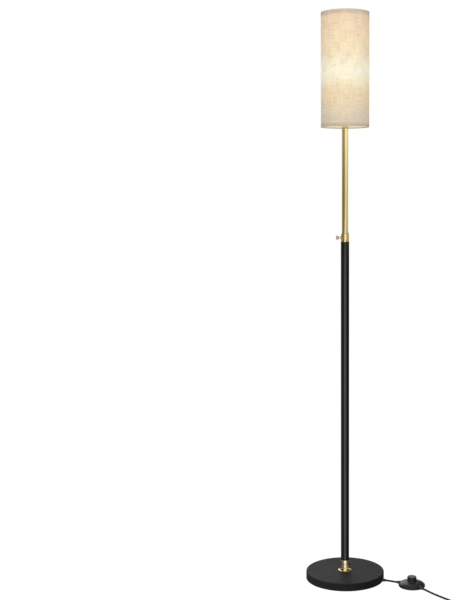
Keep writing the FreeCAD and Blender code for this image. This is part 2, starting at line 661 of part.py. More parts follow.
screws = []
for sx, sy, _ in screw_spots:
    body = lathe([(0.0, 0.55), (2.3, 0.55, 0.3), (2.3, 1.0), (1.2, 1.0), (1.2, 8.0, 0.3), (0.0, 8.0)], SX + sx, SY + sy)
    screws.append(body)
nodes["switch_screws"] = Part.makeCompound(screws)

relief = lathe([
    (GRIP_R, 26.0),
    (5.0, 26.0, 0.4),
    (5.0, 29.2),
    (4.4, 29.2),
    (4.4, 39.1),
    (4.8, 39.1, 0.3),
    (4.7, 40.8, 0.6),
    (3.6, PORT_TIP, 0.2),
    (GRIP_R + 0.12, PORT_TIP),
    (GRIP_R, 38.0),
])
nodes["switch_strain_reliefs"] = Part.makeCompound([
    aim(relief, heading(PORT_IN_DEG), (SX, SY, PORT_Z)),
    aim(relief, heading(PORT_OUT_DEG), (SX, SY, PORT_Z)),
])

button = lathe([
    (0.0, 27.6), (BUTTON_R - 1.8, 27.6, 1.0), (BUTTON_R - 1.8, 10.9), (BUTTON_R + 1.4, 10.9, 0.4), (BUTTON_R + 1.4, 12.5, 0.4),
    (BUTTON_R, 12.5), (BUTTON_R, BUTTON_TOP, 2.2), (0.0, BUTTON_TOP)])
button.translate(Vector(SX, SY, 0))
nodes["switch_button"] = button

# ---------------------------------------------------------------- cord, coil and plug
nodes["cord_base_to_switch"] = route_tube(ROUTE_1, CORD_D, "cord_base_to_switch")
nodes["cord_switch_to_coil"] = route_tube(ROUTE_2, CORD_D, "cord_switch_to_coil")
nodes["cord_coil_to_plug"] = route_tube(ROUTE_3, CORD_D, "cord_coil_to_plug")

coil = lathe([(COIL_IN, 0.0, 2.8), (COIL_OUT, 0.0, 2.8), (COIL_OUT, COIL_H, 2.8), (COIL_IN, COIL_H, 2.8)])
# The tie is a strap round the bundle, with a small head on top.
tie_out = prism([(COIL_IN - 1.4, -2.0), (COIL_OUT + 1.4, -2.0), (COIL_OUT + 1.4, 2.0), (COIL_IN - 1.4, 2.0)], 0.0, COIL_H + 1.1)
tie_out = tie_out.makeFillet(3.2, [e for e in tie_out.Edges if abs(e.BoundBox.YLength - 4.0) < 1e-6 and e.BoundBox.XLength < 1e-6 and e.BoundBox.ZLength < 1e-6])
tie_in = prism([(COIL_IN - 0.4, -3.0), (COIL_OUT + 0.4, -3.0), (COIL_OUT + 0.4, 3.0), (COIL_IN - 0.4, 3.0)], 0.9, COIL_H + 0.15)
tie_in = tie_in.makeFillet(2.4, [e for e in tie_in.Edges if abs(e.BoundBox.YLength - 6.0) < 1e-6 and e.BoundBox.XLength < 1e-6 and e.BoundBox.ZLength < 1e-6])
tie = tie_out.cut(tie_in)
tie = tie.fuse(prism([(31.0, -3.0, 0.8), (37.0, -3.0, 0.8), (37.0, 3.0, 0.8), (31.0, 3.0, 0.8)], COIL_H + 0.3, COIL_H + 4.0)).removeSplitter()
tie.rotate(Vector(0, 0, 0), Vector(0, 0, 1), TIE_DEG)
coil = coil.cut(tie)
coil.translate(Vector(COIL_X, COIL_Y, 0))
tie.translate(Vector(COIL_X, COIL_Y, 0))
nodes["cord_coil"] = coil
nodes["cord_tie"] = tie

# Moulded two-blade plug, built along +X from the tip of its strain relief.
def along_x(solid):
    return aim(solid, (1, 0, 0), (0, 0, 0))


taper = [(CORD_D / 2, 0.0), (3.7, 0.0, 0.3)]
for i in range(4):
    x = 2.4 + 5.0 * i
    r = 3.8 + 0.32 * i
    taper += [(r, x), (r - 0.45, x + 0.4), (r - 0.4, x + 1.6), (r + 0.12, x + 2.0)]
taper += [(5.2, 22.0), (6.2, 25.0), (CORD_D / 2, 25.0)]
plug = along_x(lathe(taper))
grip = prism([(24.0, -8.2, 2.0), (30.0, -11.0, 6.0), (44.0, -11.9, 4.0), (57.0, -12.3, 1.6), (57.0, 12.3, 1.6), (44.0, 11.9, 4.0), (30.0, 11.0, 6.0), (24.0, 8.2, 2.0)], -7.0, 7.0)
side = Part.Face(corner_wire([(23.0, -5.2), (30.0, -6.2, 8.0), (57.5, -7.0), (57.5, 7.0), (30.0, 6.2, 8.0), (23.0, 5.2)], lambda a, b: Vector(a, -20, b)))
grip = grip.common(side.extrude(Vector(0, 40, 0)))
plug = plug.fuse(grip).removeSplitter()
plug = plug.cut(Part.makeCylinder(CORD_D / 2, 10.0, Vector(-1, 0, 0), Vector(1, 0, 0)))
blades = []
for y, w in ((-6.35, 6.35), (6.35, 7.9)):
    blade = Part.makeBox(21.5, 1.5, w, Vector(53.0, y - 0.75, -w / 2))
    tips = [e for e in blade.Edges if e.BoundBox.XMin > 74.0 and e.BoundBox.YLength > 1.0 and e.BoundBox.ZLength < 1e-6]
    blade = blade.makeFillet(1.6, tips)
    blade = blade.cut(Part.makeCylinder(1.6, 4.0, Vector(70.3, y - 2.0, 0), Vector(0, 1, 0)))
    blades.append(blade)
for blade in blades:
    plug = plug.cut(blade)
turn = Placement(Vector(*PLUG_TIP), Rotation(Vector(0, 0, 1), PLUG_DEG))
plug.Placement = turn.multiply(plug.Placement)
blade_group = Part.makeCompound(blades)
blade_group.Placement = turn
nodes["plug_body"] = plug
nodes["plug_blades"] = blade_group

# ---------------------------------------------------------------- write every piece
for name, shape in sorted(nodes.items()):
    box = shape.BoundBox
    bad = [s for s in shape.Solids if not s.isValid() or s.Volume <= 0]
    print("%-28s solids %2d  volume %11.1f  z %8.2f..%8.2f%s" % (name, len(shape.Solids), shape.Volume, box.ZMin, box.ZMax, "  INVALID" if bad else ""))
    shape.exportStep("parts/%s.step" % name)
print("nodes", len(nodes))
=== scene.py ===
import math

import bmesh
import bpy
import numpy as np
from mathutils import Matrix, Vector


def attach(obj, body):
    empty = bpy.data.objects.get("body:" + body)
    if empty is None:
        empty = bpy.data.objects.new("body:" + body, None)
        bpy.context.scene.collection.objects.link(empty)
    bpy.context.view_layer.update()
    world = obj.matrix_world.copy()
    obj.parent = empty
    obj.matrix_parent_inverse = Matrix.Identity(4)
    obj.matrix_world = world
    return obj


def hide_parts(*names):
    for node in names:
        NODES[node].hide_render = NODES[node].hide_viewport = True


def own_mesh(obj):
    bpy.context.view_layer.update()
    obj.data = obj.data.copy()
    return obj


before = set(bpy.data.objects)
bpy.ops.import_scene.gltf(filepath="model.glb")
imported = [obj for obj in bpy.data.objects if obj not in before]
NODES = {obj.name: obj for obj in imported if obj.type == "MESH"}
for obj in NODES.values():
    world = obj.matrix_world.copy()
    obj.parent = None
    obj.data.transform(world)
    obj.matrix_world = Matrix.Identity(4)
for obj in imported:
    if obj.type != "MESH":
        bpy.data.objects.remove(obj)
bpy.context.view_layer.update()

# Telescopic floor lamp. Metres, the same frame as the CAD: floor at z 0, the pole on the Z axis, the front at -Y.
MM = 0.001
scene = bpy.context.scene

# ---------------------------------------------------------------- camera
YAW, PITCH, ROLL = math.radians(2.35), math.radians(-5.66), math.radians(-0.23)
cam_data = bpy.data.cameras.new("camera")
cam = bpy.data.objects.new("camera", cam_data)
scene.collection.objects.link(cam)
cam_data.sensor_fit = "AUTO"
cam_data.sensor_width = 36.0
cam_data.lens = 65.01
cam_data.shift_x = -0.1196
cam_data.clip_start, cam_data.clip_end = 0.05, 60.0
forward = Vector((-math.sin(YAW) * math.cos(PITCH), math.cos(YAW) * math.cos(PITCH), math.sin(PITCH)))
level = Vector((math.cos(YAW), math.sin(YAW), 0.0))
up = level.cross(forward)
right_r = level * math.cos(ROLL) + up * math.sin(ROLL)
up_r = up * math.cos(ROLL) - level * math.sin(ROLL)
turn = Matrix((right_r, up_r, -forward)).transposed()
cam.matrix_world = Matrix.Translation((0.0, -3.193, 1.164)) @ turn.to_4x4()
scene.camera = cam


# ---------------------------------------------------------------- mesh helpers
def rounded(points, edge=0.0, step=11.0):
    """A closed outline from corners (a, b) or (a, b, r); a corner with r is an arc. Sharp corners off the axis get radius edge."""
    n, out = len(points), []
    for i in range(n):
        b = Vector(points[i][:2])
        r = points[i][2] if len(points[i]) > 2 else (edge if abs(points[i][0]) > 1e-6 else 0.0)
        ua, uc = Vector(points[i - 1][:2]) - b, Vector(points[(i + 1) % n][:2]) - b
        la, lc = ua.length, uc.length
        if r <= 0 or la < 1e-9 or lc < 1e-9:
            out.append((b.x, b.y))
            continue
        ua, uc = ua / la, uc / lc
        angle = math.acos(max(-1.0, min(1.0, ua.dot(uc))))
        if angle > math.radians(172):
            out.append((b.x, b.y))
            continue
        t = r / math.tan(angle / 2)
        if len(points[i]) <= 2:
            t_most = 0.45 * min(la, lc)
            if t > t_most:
                t, r = t_most, t_most * math.tan(angle / 2)
        bis = (ua + uc).normalized()
        centre = b + bis * (r / math.sin(angle / 2))
        first, last = b + ua * t - centre, b + uc * t - centre
        sweep = math.pi - angle
        a0 = math.atan2(first.y, first.x)
        turn_way = 1.0 if first.x * last.y - first.y * last.x > 0 else -1.0
        count = max(2, math.ceil(math.degrees(sweep) / step))
        for k in range(count + 1):
            a = a0 + turn_way * sweep * k / count
            out.append((centre.x + r * math.cos(a), centre.y + r * math.sin(a)))
    return out


def finish_mesh(name, bm, mats, sharp=32.0, weld=True):
    if weld:
        bmesh.ops.remove_doubles(bm, verts=bm.verts, dist=1e-7)
    bmesh.ops.recalc_face_normals(bm, faces=bm.faces)
    me = bpy.data.meshes.new(name)
    bm.to_mesh(me)
    bm.free()
    for p in me.polygons:
        p.use_smooth = True
    me.set_sharp_from_angle(angle=math.radians(sharp))
    ob = bpy.data.objects.new(name, me)
    scene.collection.objects.link(ob)
    for m in mats if isinstance(mats, (list, tuple)) else [mats]:
        me.materials.append(m)
    return ob


def braced(outline, gap=0.0004):
    """Puts a ring close to both ends of every long straight run, so that a rounded edge doesn't tilt the shading of the run beside it."""
    out = []
    for i, p in enumerate(outline):
        q = outline[(i + 1) % len(outline)]
        out.append(tuple(p))
        run = math.dist(p, q)
        if run > 5 * gap:
            t = gap / run
            out += [(p[0] + (q[0] - p[0]) * k, p[1] + (q[1] - p[1]) * k) for k in (t, 1 - t)]
    return out


def revolve(bm, outline, segs=160, place=None, radius_of=None, closed=True):
    """Adds a body of revolution about Z from an outline in (radius, z), in metres. place is a 4x4 matrix."""
    place = place or Matrix.Identity(4)
    outline = braced(outline)
    rings = []
    for j in range(segs):
        a = 2 * math.pi * j / segs
        c, s = math.cos(a), math.sin(a)
        ring = []
        for (r, z) in outline:
            rr = r if radius_of is None else radius_of(r, z, a)
            ring.append(bm.verts.new(place @ Vector((rr * c, rr * s, z))))
        rings.append(ring)
    n = len(outline)
    for j in range(segs):
        a, b = rings[j], rings[(j + 1) % segs]
        for i in range(n if closed else n - 1):
            k = (i + 1) % n
            if outline[i][0] < 1e-7 and outline[k][0] < 1e-7:
                continue
            bm.faces.new((a[i], b[i], b[k], a[k]))
    return rings


def mm(points):
    return [tuple(v * MM for v in p) for p in points]


def lathe(name, points, mats, segs=160, edge=0.12, place=None, step=11.0, sharp=32.0, radius_of=None):
    """A turned piece from corners in millimetres."""
    bm = bmesh.new()
    revolve(bm, rounded(mm(points), edge * MM, step), segs, place, radius_of)
    return finish_mesh(name, bm, mats, sharp)


def aim(direction, origin_mm=(0, 0, 0)):
    """The placing matrix that turns +Z to a direction at an origin in millimetres."""
    q = Vector((0, 0, 1)).rotation_difference(Vector(direction))
    return Matrix.Translation(Vector(origin_mm) * MM) @ q.to_matrix().to_4x4()


def heading(deg):
    return Vector((math.cos(math.radians(deg)), math.sin(math.radians(deg)), 0.0))


def polar(r, deg, z=0.0, x=0.0, y=0.0):
    return Vector((x + r * math.cos(math.radians(deg)), y + r * math.sin(math.radians(deg)), z))


def cut_with(ob, cutter, operation="DIFFERENCE"):
    """A boolean that is applied at once; the cutter goes."""
    mod = ob.modifiers.new("cut", "BOOLEAN")
    mod.operation, mod.solver, mod.object = operation, "EXACT", cutter
    dg = bpy.context.evaluated_depsgraph_get()
    me = bpy.data.meshes.new_from_object(ob.evaluated_get(dg))
    ob.modifiers.clear()
    old = ob.data
    ob.data = me
    me.name = old.name
    bpy.data.meshes.remove(old)
    bpy.data.objects.remove(cutter)
    for p in me.polygons:
        p.use_smooth = True
    me.set_sharp_from_angle(angle=math.radians(32))
    return ob


def put(ob, body, replaced=()):
    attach(ob, body)
    if replaced:
        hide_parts(*replaced)
    return ob


# ---------------------------------------------------------------- material helpers
class Mat:
    """A node material written in short steps."""

    def __init__(self, name):
        self.m = bpy.data.materials.new(name)
        self.m.use_nodes = True
        self.t = self.m.node_tree
        self.t.nodes.clear()
        self.out = self.t.nodes.new("ShaderNodeOutputMaterial")
        self.b = self.t.nodes.new("ShaderNodeBsdfPrincipled")
        self.t.links.new(self.b.outputs[0], self.out.inputs[0])
        self.coord = None

    def set(self, **kw):
        names = {"color": "Base Color", "rough": "Roughness", "metal": "Metallic", "spec": "Specular IOR Level", "ior": "IOR",
                 "coat": "Coat Weight", "coat_rough": "Coat Roughness", "sheen": "Sheen Weight", "sheen_rough": "Sheen Roughness",
                 "sheen_tint": "Sheen Tint", "emit": "Emission Color", "strength": "Emission Strength", "aniso": "Anisotropic",
                 "trans": "Transmission Weight", "sub": "Subsurface Weight", "sub_scale": "Subsurface Scale", "spec_tint": "Specular Tint"}
        for k, v in kw.items():
            s = self.b.inputs[names[k]]
            s.default_value = (*v, 1.0) if isinstance(v, tuple) and len(v) == 3 and len(s.default_value) == 4 else v
        return self

    def node(self, kind, **kw):
        n = self.t.nodes.new(kind)
        for k, v in kw.items():
            setattr(n, k, v)
        return n

    def link(self, a, b):
        self.t.links.new(a, b)

    def pos(self, scale=(1, 1, 1), kind="Object", offset=(0, 0, 0), turned=(0, 0, 0)):
        if self.coord is None:
            self.coord = self.node("ShaderNodeTexCoord")
        m = self.node("ShaderNodeMapping")
        m.inputs["Scale"].default_value = scale
        m.inputs["Location"].default_value = offset
        m.inputs["Rotation"].default_value = turned
        self.link(self.coord.outputs[kind], m.inputs["Vector"])
        return m.outputs[0]

    def noise(self, scale, vec=None, detail=3.0, rough=0.55, distort=0.0, kind="Object", stretch=(1, 1, 1)):
        n = self.node("ShaderNodeTexNoise")
        n.inputs["Scale"].default_value = scale
        n.inputs["Detail"].default_value = detail
        n.inputs["Roughness"].default_value = rough
        n.inputs["Distortion"].default_value = distort
        self.link(vec if vec is not None else self.pos(stretch, kind), n.inputs["Vector"])
        return n.outputs["Fac"]

    def math(self, op, a, b=None, c=None, clamp=False):
        n = self.node("ShaderNodeMath", operation=op, use_clamp=clamp)
        for i, v in enumerate((a, b, c)):
            if v is None:
                continue
            if isinstance(v, (int, float)):
                n.inputs[i].default_value = v
            else:
                self.link(v, n.inputs[i])
        return n.outputs[0]

    def ramp(self, fac, stops, interp="LINEAR"):
        n = self.node("ShaderNodeValToRGB")
        n.color_ramp.interpolation = interp
        e = n.color_ramp.elements
        while len(e) < len(stops):
            e.new(0.5)
        for s, (p, c) in zip(e, stops):
            s.position = p
            s.color = (*c, 1.0) if isinstance(c, tuple) else (c, c, c, 1.0)
        self.link(fac, n.inputs[0])
        return n.outputs[0]

    def mapr(self, v, a, b, c, d, smooth=False):
        n = self.node("ShaderNodeMapRange", interpolation_type="SMOOTHSTEP" if smooth else "LINEAR")
        for i, x in enumerate((a, b, c, d)):
            n.inputs[i + 1].default_value = x
        self.link(v, n.inputs[0])
        return n.outputs[0]

    def mix(self, fac, a, b, mode="MIX"):
        n = self.node("ShaderNodeMix", data_type="RGBA", blend_type=mode)
        for i, v in ((0, fac), (6, a), (7, b)):
            if isinstance(v, (int, float)):
                n.inputs[i].default_value = v
            elif isinstance(v, tuple):
                n.inputs[i].default_value = (*v, 1.0)
            else:
                self.link(v, n.inputs[i])
        return n.outputs[2]

    def bump(self, height, distance=0.0002, strength=0.5, normal=None):
        n = self.node("ShaderNodeBump")
        n.inputs["Distance"].default_value = distance
        n.inputs["Strength"].default_value = strength
        self.link(height, n.inputs["Height"])
        if normal is not None:
            self.link(normal, n.inputs["Normal"])
        self.link(n.outputs[0], self.b.inputs["Normal"])
        return n.outputs[0]

    def to(self, value, socket):
        self.link(value, self.b.inputs[socket])
        return self


def shade_of(c, k):
    return tuple(min(1.0, x * k) for x in c)


def coated(name, color, rough, grain=900.0, depth=0.00006, spec=0.5, blotch=0.12, strength=0.5):
    """Powder coat, paint or moulded plastic: a fine skin, slow blotches in tone and gloss."""
    m = Mat(name).set(color=color, rough=rough, spec=spec)
    slow = m.noise(14.0, detail=3)
    skin = m.noise(grain, detail=2, rough=0.6)
    m.to(m.ramp(m.math("ADD", m.math("MULTIPLY", slow, 0.7), m.math("MULTIPLY", skin, 0.3)),
                [(0.25, shade_of(color, 1 - blotch)), (0.75, shade_of(color, 1 + blotch))]), "Base Color")
    m.to(m.mapr(m.math("ADD", m.math("MULTIPLY", slow, 0.5), m.math("MULTIPLY", skin, 0.5)), 0.3, 0.7, rough * 0.9, min(1.0, rough * 1.12)), "Roughness")
    m.bump(skin, depth, strength)
    return m.m


def metal(name, color, rough, stretch=(1, 1, 1), grain=500.0, depth=0.00001, tint=0.05, strength=0.5, aniso=0.0):
    """Turned, drawn or plated metal: fine lines along stretch, slow tint, a few rub marks."""
    m = Mat(name).set(color=color, metal=1.0, rough=rough, aniso=aniso)
    lines = m.noise(grain, detail=2, rough=0.6, stretch=stretch)
    slow = m.noise(9.0, detail=4)
    marks = m.noise(60.0, detail=5, rough=0.7, distort=0.6)
    m.to(m.ramp(m.math("ADD", m.math("MULTIPLY", slow, 0.6), m.math("MULTIPLY", lines, 0.4)),
                [(0.3, shade_of(color, 1 - tint)), (0.7, shade_of(color, 1 + tint))]), "Base Color")
    r = m.math("ADD", m.math("MULTIPLY", lines, 0.55), m.math("MULTIPLY", marks, 0.45))
    m.to(m.mapr(r, 0.35, 0.7, rough * 0.85, rough * 1.2), "Roughness")
    m.bump(lines, depth, strength)
    return m.m


# ---------------------------------------------------------------- materials
BRASS = (0.88, 0.712, 0.330)
M = {}
M["black_powder_coat"] = coated("black_powder_coat", (0.0086, 0.0086, 0.0091), 0.55, grain=1500.0, depth=0.00009, spec=0.08, blotch=0.08)
M["black_tube_paint"] = coated("black_tube_paint", (0.0035, 0.0035, 0.0037), 0.11, grain=1300.0, depth=0.000005, spec=0.46, blotch=0.10)
M["weight_iron"] = coated("weight_iron", (0.10, 0.095, 0.09), 0.72, grain=420.0, depth=0.0003, spec=0.4, blotch=0.3)
M["soft_pad"] = coated("soft_pad", (0.045, 0.045, 0.047), 0.9, grain=900.0, depth=0.0002, spec=0.2, blotch=0.15)
M["zinc_steel"] = metal("zinc_steel", (0.56, 0.57, 0.58), 0.34, grain=260.0, depth=0.00002, tint=0.12)
M["satin_brass"] = metal("satin_brass", BRASS, 0.10, stretch=(1.0, 1.0, 0.03), grain=1400.0, depth=0.000004, tint=0.03)
M["brass_turned"] = metal("brass_turned", BRASS, 0.11, stretch=(0.05, 0.05, 1.0), grain=3200.0, depth=0.000008, tint=0.04)
M["brass_coupling"] = metal("brass_coupling", (0.88, 0.70, 0.37), 0.22, stretch=(0.05, 0.05, 1.0), grain=3200.0, depth=0.000006, tint=0.04)
# the knob's brass is a darker, duller copy of the pole's brass: painted shade on the small knob
M["brass_knob"] = metal("brass_knob", (0.56, 0.47, 0.33), 0.26, stretch=(1.0, 0.06, 0.06), grain=3000.0, depth=0.000008, tint=0.05)
M["nylon"] = coated("nylon", (0.62, 0.60, 0.54), 0.42, grain=300.0, depth=0.00003, blotch=0.06)
M["holder_black"] = coated("holder_black", (0.022, 0.021, 0.020), 0.36, grain=700.0, depth=0.00004, blotch=0.12)
M["holder_core"] = coated("holder_core", (0.66, 0.62, 0.53), 0.4, grain=300.0, depth=0.00004, blotch=0.07)
M["contact_brass"] = metal("contact_brass", (0.74, 0.57, 0.28), 0.3, grain=500.0, depth=0.00002, tint=0.15)
M["white_wire"] = coated("white_wire", (0.72, 0.70, 0.64), 0.42, grain=500.0, depth=0.00004, blotch=0.06)
M["bulb_cap_metal"] = metal("bulb_cap_metal", (0.72, 0.72, 0.71), 0.24, stretch=(0.1, 0.1, 1.0), grain=1600.0, depth=0.00001, tint=0.06)
M["lead_cover"] = coated("lead_cover", (0.50, 0.48, 0.44), 0.5, grain=500.0, depth=0.00004, blotch=0.08)
M["cord_black"] = coated("cord_black", (0.009, 0.009, 0.0095), 0.42, grain=700.0, depth=0.00005, spec=0.26, blotch=0.12)
M["switch_black"] = coated("switch_black", (0.0088, 0.0088, 0.0092), 0.27, grain=1500.0, depth=0.00008, spec=0.24, blotch=0.10)
M["plug_black"] = coated("plug_black", (0.018, 0.018, 0.019), 0.46, grain=900.0, depth=0.00006, spec=0.42, blotch=0.12)
M["tie_black"] = coated("tie_black", (0.02, 0.02, 0.021), 0.55, grain=600.0, depth=0.00006, spec=0.4, blotch=0.15)
M["bulb_heat_sink"] = coated("bulb_heat_sink", (0.78, 0.77, 0.73), 0.38, grain=500.0, depth=0.00003, blotch=0.04)
M["led_board"] = coated("led_board", (0.80, 0.80, 0.76), 0.5, grain=300.0, depth=0.00003, blotch=0.05)

SHADE_LOW, SHADE_TOP = 1352.7, 1680.6
# Painted glow: emission that stands in for the bulb's light coming through the cloth, by height: share of the height
# from the bottom, and the colour it adds.
GLOW = [
    (0.000, (0.147, 0.122, 0.073)),
    (0.017, (0.127, 0.105, 0.058)),
    (0.029, (0.173, 0.146, 0.097)),
    (0.039, (0.234, 0.208, 0.158)),
    (0.068, (0.241, 0.215, 0.175)),
    (0.137, (0.299, 0.249, 0.180)),
    (0.222, (0.361, 0.283, 0.169)),
    (0.307, (0.417, 0.319, 0.175)),
    (0.392, (0.467, 0.449, 0.305)),
    (0.478, (0.510, 0.522, 0.424)),
    (0.563, (0.467, 0.449, 0.318)),
    (0.648, (0.442, 0.378, 0.228)),
    (0.776, (0.442, 0.341, 0.198)),
    (0.936, (0.409, 0.283, 0.169)),
    (0.954, (0.393, 0.255, 0.141)),
    (0.964, (0.249, 0.171, 0.097)),
    (0.985, (0.160, 0.111, 0.077)),
    (0.998, (0.147, 0.122, 0.097)),
]


def linen(name, dense=1.0):
    """Slubby linen in plain weave, with the light from behind painted into its emission as a glow by height. UV is in
    metres round and up the drum.
    """
    m = Mat(name).set(color=(0.66, 0.58, 0.46), rough=0.85, spec=0.12, sheen=0.15, sheen_rough=0.5)
    warp = m.noise(1.0, m.pos((1050.0, 22.0, 1.0), "UV"), detail=1.5, rough=0.6)
    weft = m.noise(1.0, m.pos((26.0, 1000.0, 1.0), "UV", offset=(3.7, 1.3, 0)), detail=1.5, rough=0.6)
    warp_slub = m.noise(1.0, m.pos((330.0, 30.0, 1.0), "UV", offset=(11.2, 5.1, 0)), detail=2.0, rough=0.6)
    weft_slub = m.noise(1.0, m.pos((34.0, 300.0, 1.0), "UV", offset=(7.9, 2.2, 0)), detail=2.0, rough=0.6)
    cloud = m.noise(1.0, m.pos((38.0, 46.0, 1.0), "UV", offset=(2.1, 9.2, 0)), detail=2.0, rough=0.5)
    # threads over and under each other
    uv = m.node("ShaderNodeSeparateXYZ")
    m.link(m.pos((1.0, 1.0, 1.0), "UV"), uv.inputs[0])
    u, v = uv.outputs[0], uv.outputs[1]
    PITCH_T = 0.00098
    su = m.math("SINE", m.math("MULTIPLY", u, 2 * math.pi / PITCH_T))
    sv = m.math("SINE", m.math("MULTIPLY", v, 2 * math.pi / PITCH_T))
    weave = m.math("MULTIPLY", su, sv)
    threads = m.math("ADD", m.math("MULTIPLY", m.math("ABSOLUTE", su), 0.5), m.math("MULTIPLY", m.math("ABSOLUTE", sv), 0.5))
    # dark thick threads here and there, in both directions
    dark_w = m.mapr(warp_slub, 0.56, 0.74, 0.0, 1.0, True)
    dark_f = m.mapr(weft_slub, 0.56, 0.74, 0.0, 1.0, True)
    fine = m.math("ADD", m.math("MULTIPLY", m.math("SUBTRACT", warp, 0.5), 1.0), m.math("MULTIPLY", m.math("SUBTRACT", weft, 0.5), 1.0))
    tone = m.math("ADD", 1.015, m.math("MULTIPLY", fine, 0.66))
    tone = m.math("SUBTRACT", tone, m.math("MULTIPLY", m.math("MAXIMUM", dark_w, dark_f), 0.22))
    tone = m.math("ADD", tone, m.math("MULTIPLY", m.math("SUBTRACT", cloud, 0.5), 0.42))
    tone = m.math("ADD", tone, m.math("MULTIPLY", m.math("SUBTRACT", threads, 0.64), 0.22))
    # dense scales only the painted glow: the tone goes into the emission, not into the cloth's colour
    tone = m.math("MULTIPLY", m.math("MAXIMUM", tone, 0.3), dense)
    height = m.math("DIVIDE", m.math("SUBTRACT", v, SHADE_LOW * MM), (SHADE_TOP - SHADE_LOW) * MM)
    ragged = m.math("MULTIPLY", m.math("SUBTRACT", m.noise(1.0, m.pos((160.0, 4.0, 1.0), "UV"), detail=2), 0.5), 0.004)
    # painted glow: the emission colour by height stands in for the bulb's light through the cloth
    glow = m.ramp(m.math("ADD", height, ragged), GLOW)
    grey = m.node("ShaderNodeCombineColor")
    for i in range(3):
        m.link(tone, grey.inputs[i])
    # the flax is rosier in some places and yellower in others
    hue = m.noise(1.0, m.pos((24.0, 17.0, 1.0), "UV", offset=(5.3, 8.8, 0)), detail=2.0, rough=0.6)
    tint = m.ramp(hue, [(0.30, (1.05, 1.0, 0.88)), (0.5, (1.0, 1.0, 1.0)), (0.70, (1.0, 0.955, 0.99))])
    m.to(m.mix(1.0, m.mix(1.0, glow, tint, "MULTIPLY"), grey.outputs[0], "MULTIPLY"), "Emission Color")
    m.set(strength=1.0)
    base = m.ramp(m.math("ADD", m.math("MULTIPLY", fine, 0.9), 0.5), [(0.2, (0.46, 0.375, 0.27)), (0.8, (0.60, 0.53, 0.42))])
    m.to(base, "Base Color")
    h = m.math("ADD", m.math("MULTIPLY", weave, 0.35), m.math("ADD", m.math("MULTIPLY", threads, 0.5), m.math("MULTIPLY", fine, 1.6)))
    m.bump(h, 0.00028, 0.55)
    return m.m


M["linen"] = linen("linen")
# the seam's doubled cloth: a dimmer copy of the painted glow
M["linen_seam"] = linen("linen_seam", dense=0.72)

liner = Mat("shade_liner").set(color=(0.62, 0.57, 0.48), rough=0.45, spec=0.4)
lz = liner.node("ShaderNodeSeparateXYZ")
liner.link(liner.pos((1, 1, 1)), lz.inputs[0])
lh = liner.math("DIVIDE", liner.math("SUBTRACT", lz.outputs[2], SHADE_LOW * MM), (SHADE_TOP - SHADE_LOW) * MM)
weave_l = liner.noise(520.0, detail=2, stretch=(1, 1, 1))
# painted glow: the lining's emission by height stands in for the bulb's light on the inside of the shade
lglow = liner.ramp(liner.math("ADD", lh, liner.math("MULTIPLY", liner.math("SUBTRACT", liner.noise(30.0, detail=3), 0.5), 0.05)),
                   [(0.0, (0.40, 0.34, 0.25)), (0.2, (0.55, 0.48, 0.36)), (0.45, (0.95, 0.88, 0.70)), (0.7, (0.60, 0.52, 0.38)), (1.0, (0.42, 0.35, 0.25))])
liner.to(lglow, "Emission Color")
liner.set(strength=0.8)
liner.to(liner.mapr(weave_l, 0.3, 0.7, 0.4, 0.55), "Roughness")
liner.bump(weave_l, 0.00008, 0.3)
M["shade_liner"] = liner.m

hem = Mat("hem_inside").set(color=(0.60, 0.53, 0.42), rough=0.85, spec=0.12)
hw = hem.noise(1.0, hem.pos((900.0, 60.0, 1.0), "UV"), detail=2)
hf = hem.noise(1.0, hem.pos((60.0, 900.0, 1.0), "UV"), detail=2)
ht = hem.math("ADD", hem.math("MULTIPLY", hw, 0.5), hem.math("MULTIPLY", hf, 0.5))
hem.to(hem.ramp(ht, [(0.3, (0.50, 0.42, 0.30)), (0.7, (0.66, 0.59, 0.48))]), "Base Color")
# painted glow: the inside hem band's emission stands in for the bulb's light falling on it
hem.to(hem.ramp(ht, [(0.3, (0.34, 0.34, 0.32)), (0.7, (0.48, 0.48, 0.45))]), "Emission Color")
hem.set(strength=1.0)
hem.bump(ht, 0.0002, 0.5)
M["hem"] = hem.m

globe = Mat("bulb_white").set(color=(0.86, 0.85, 0.82), rough=0.3, spec=0.5)
gz = globe.node("ShaderNodeSeparateXYZ")
globe.link(globe.pos((1, 1, 1)), gz.inputs[0])
globe.to(globe.ramp(globe.math("ADD", globe.mapr(gz.outputs[2], 1.474, 1.527, 0.0, 1.0), globe.math("MULTIPLY", globe.noise(90.0), 0.03)),
                    [(0.0, (0.86, 0.70, 0.48)), (0.25, (1.0, 0.90, 0.72)), (0.6, (1.0, 0.95, 0.84)), (1.0, (1.0, 0.93, 0.80))]), "Emission Color")
globe.set(strength=3.2)
M["bulb_white"] = globe.m

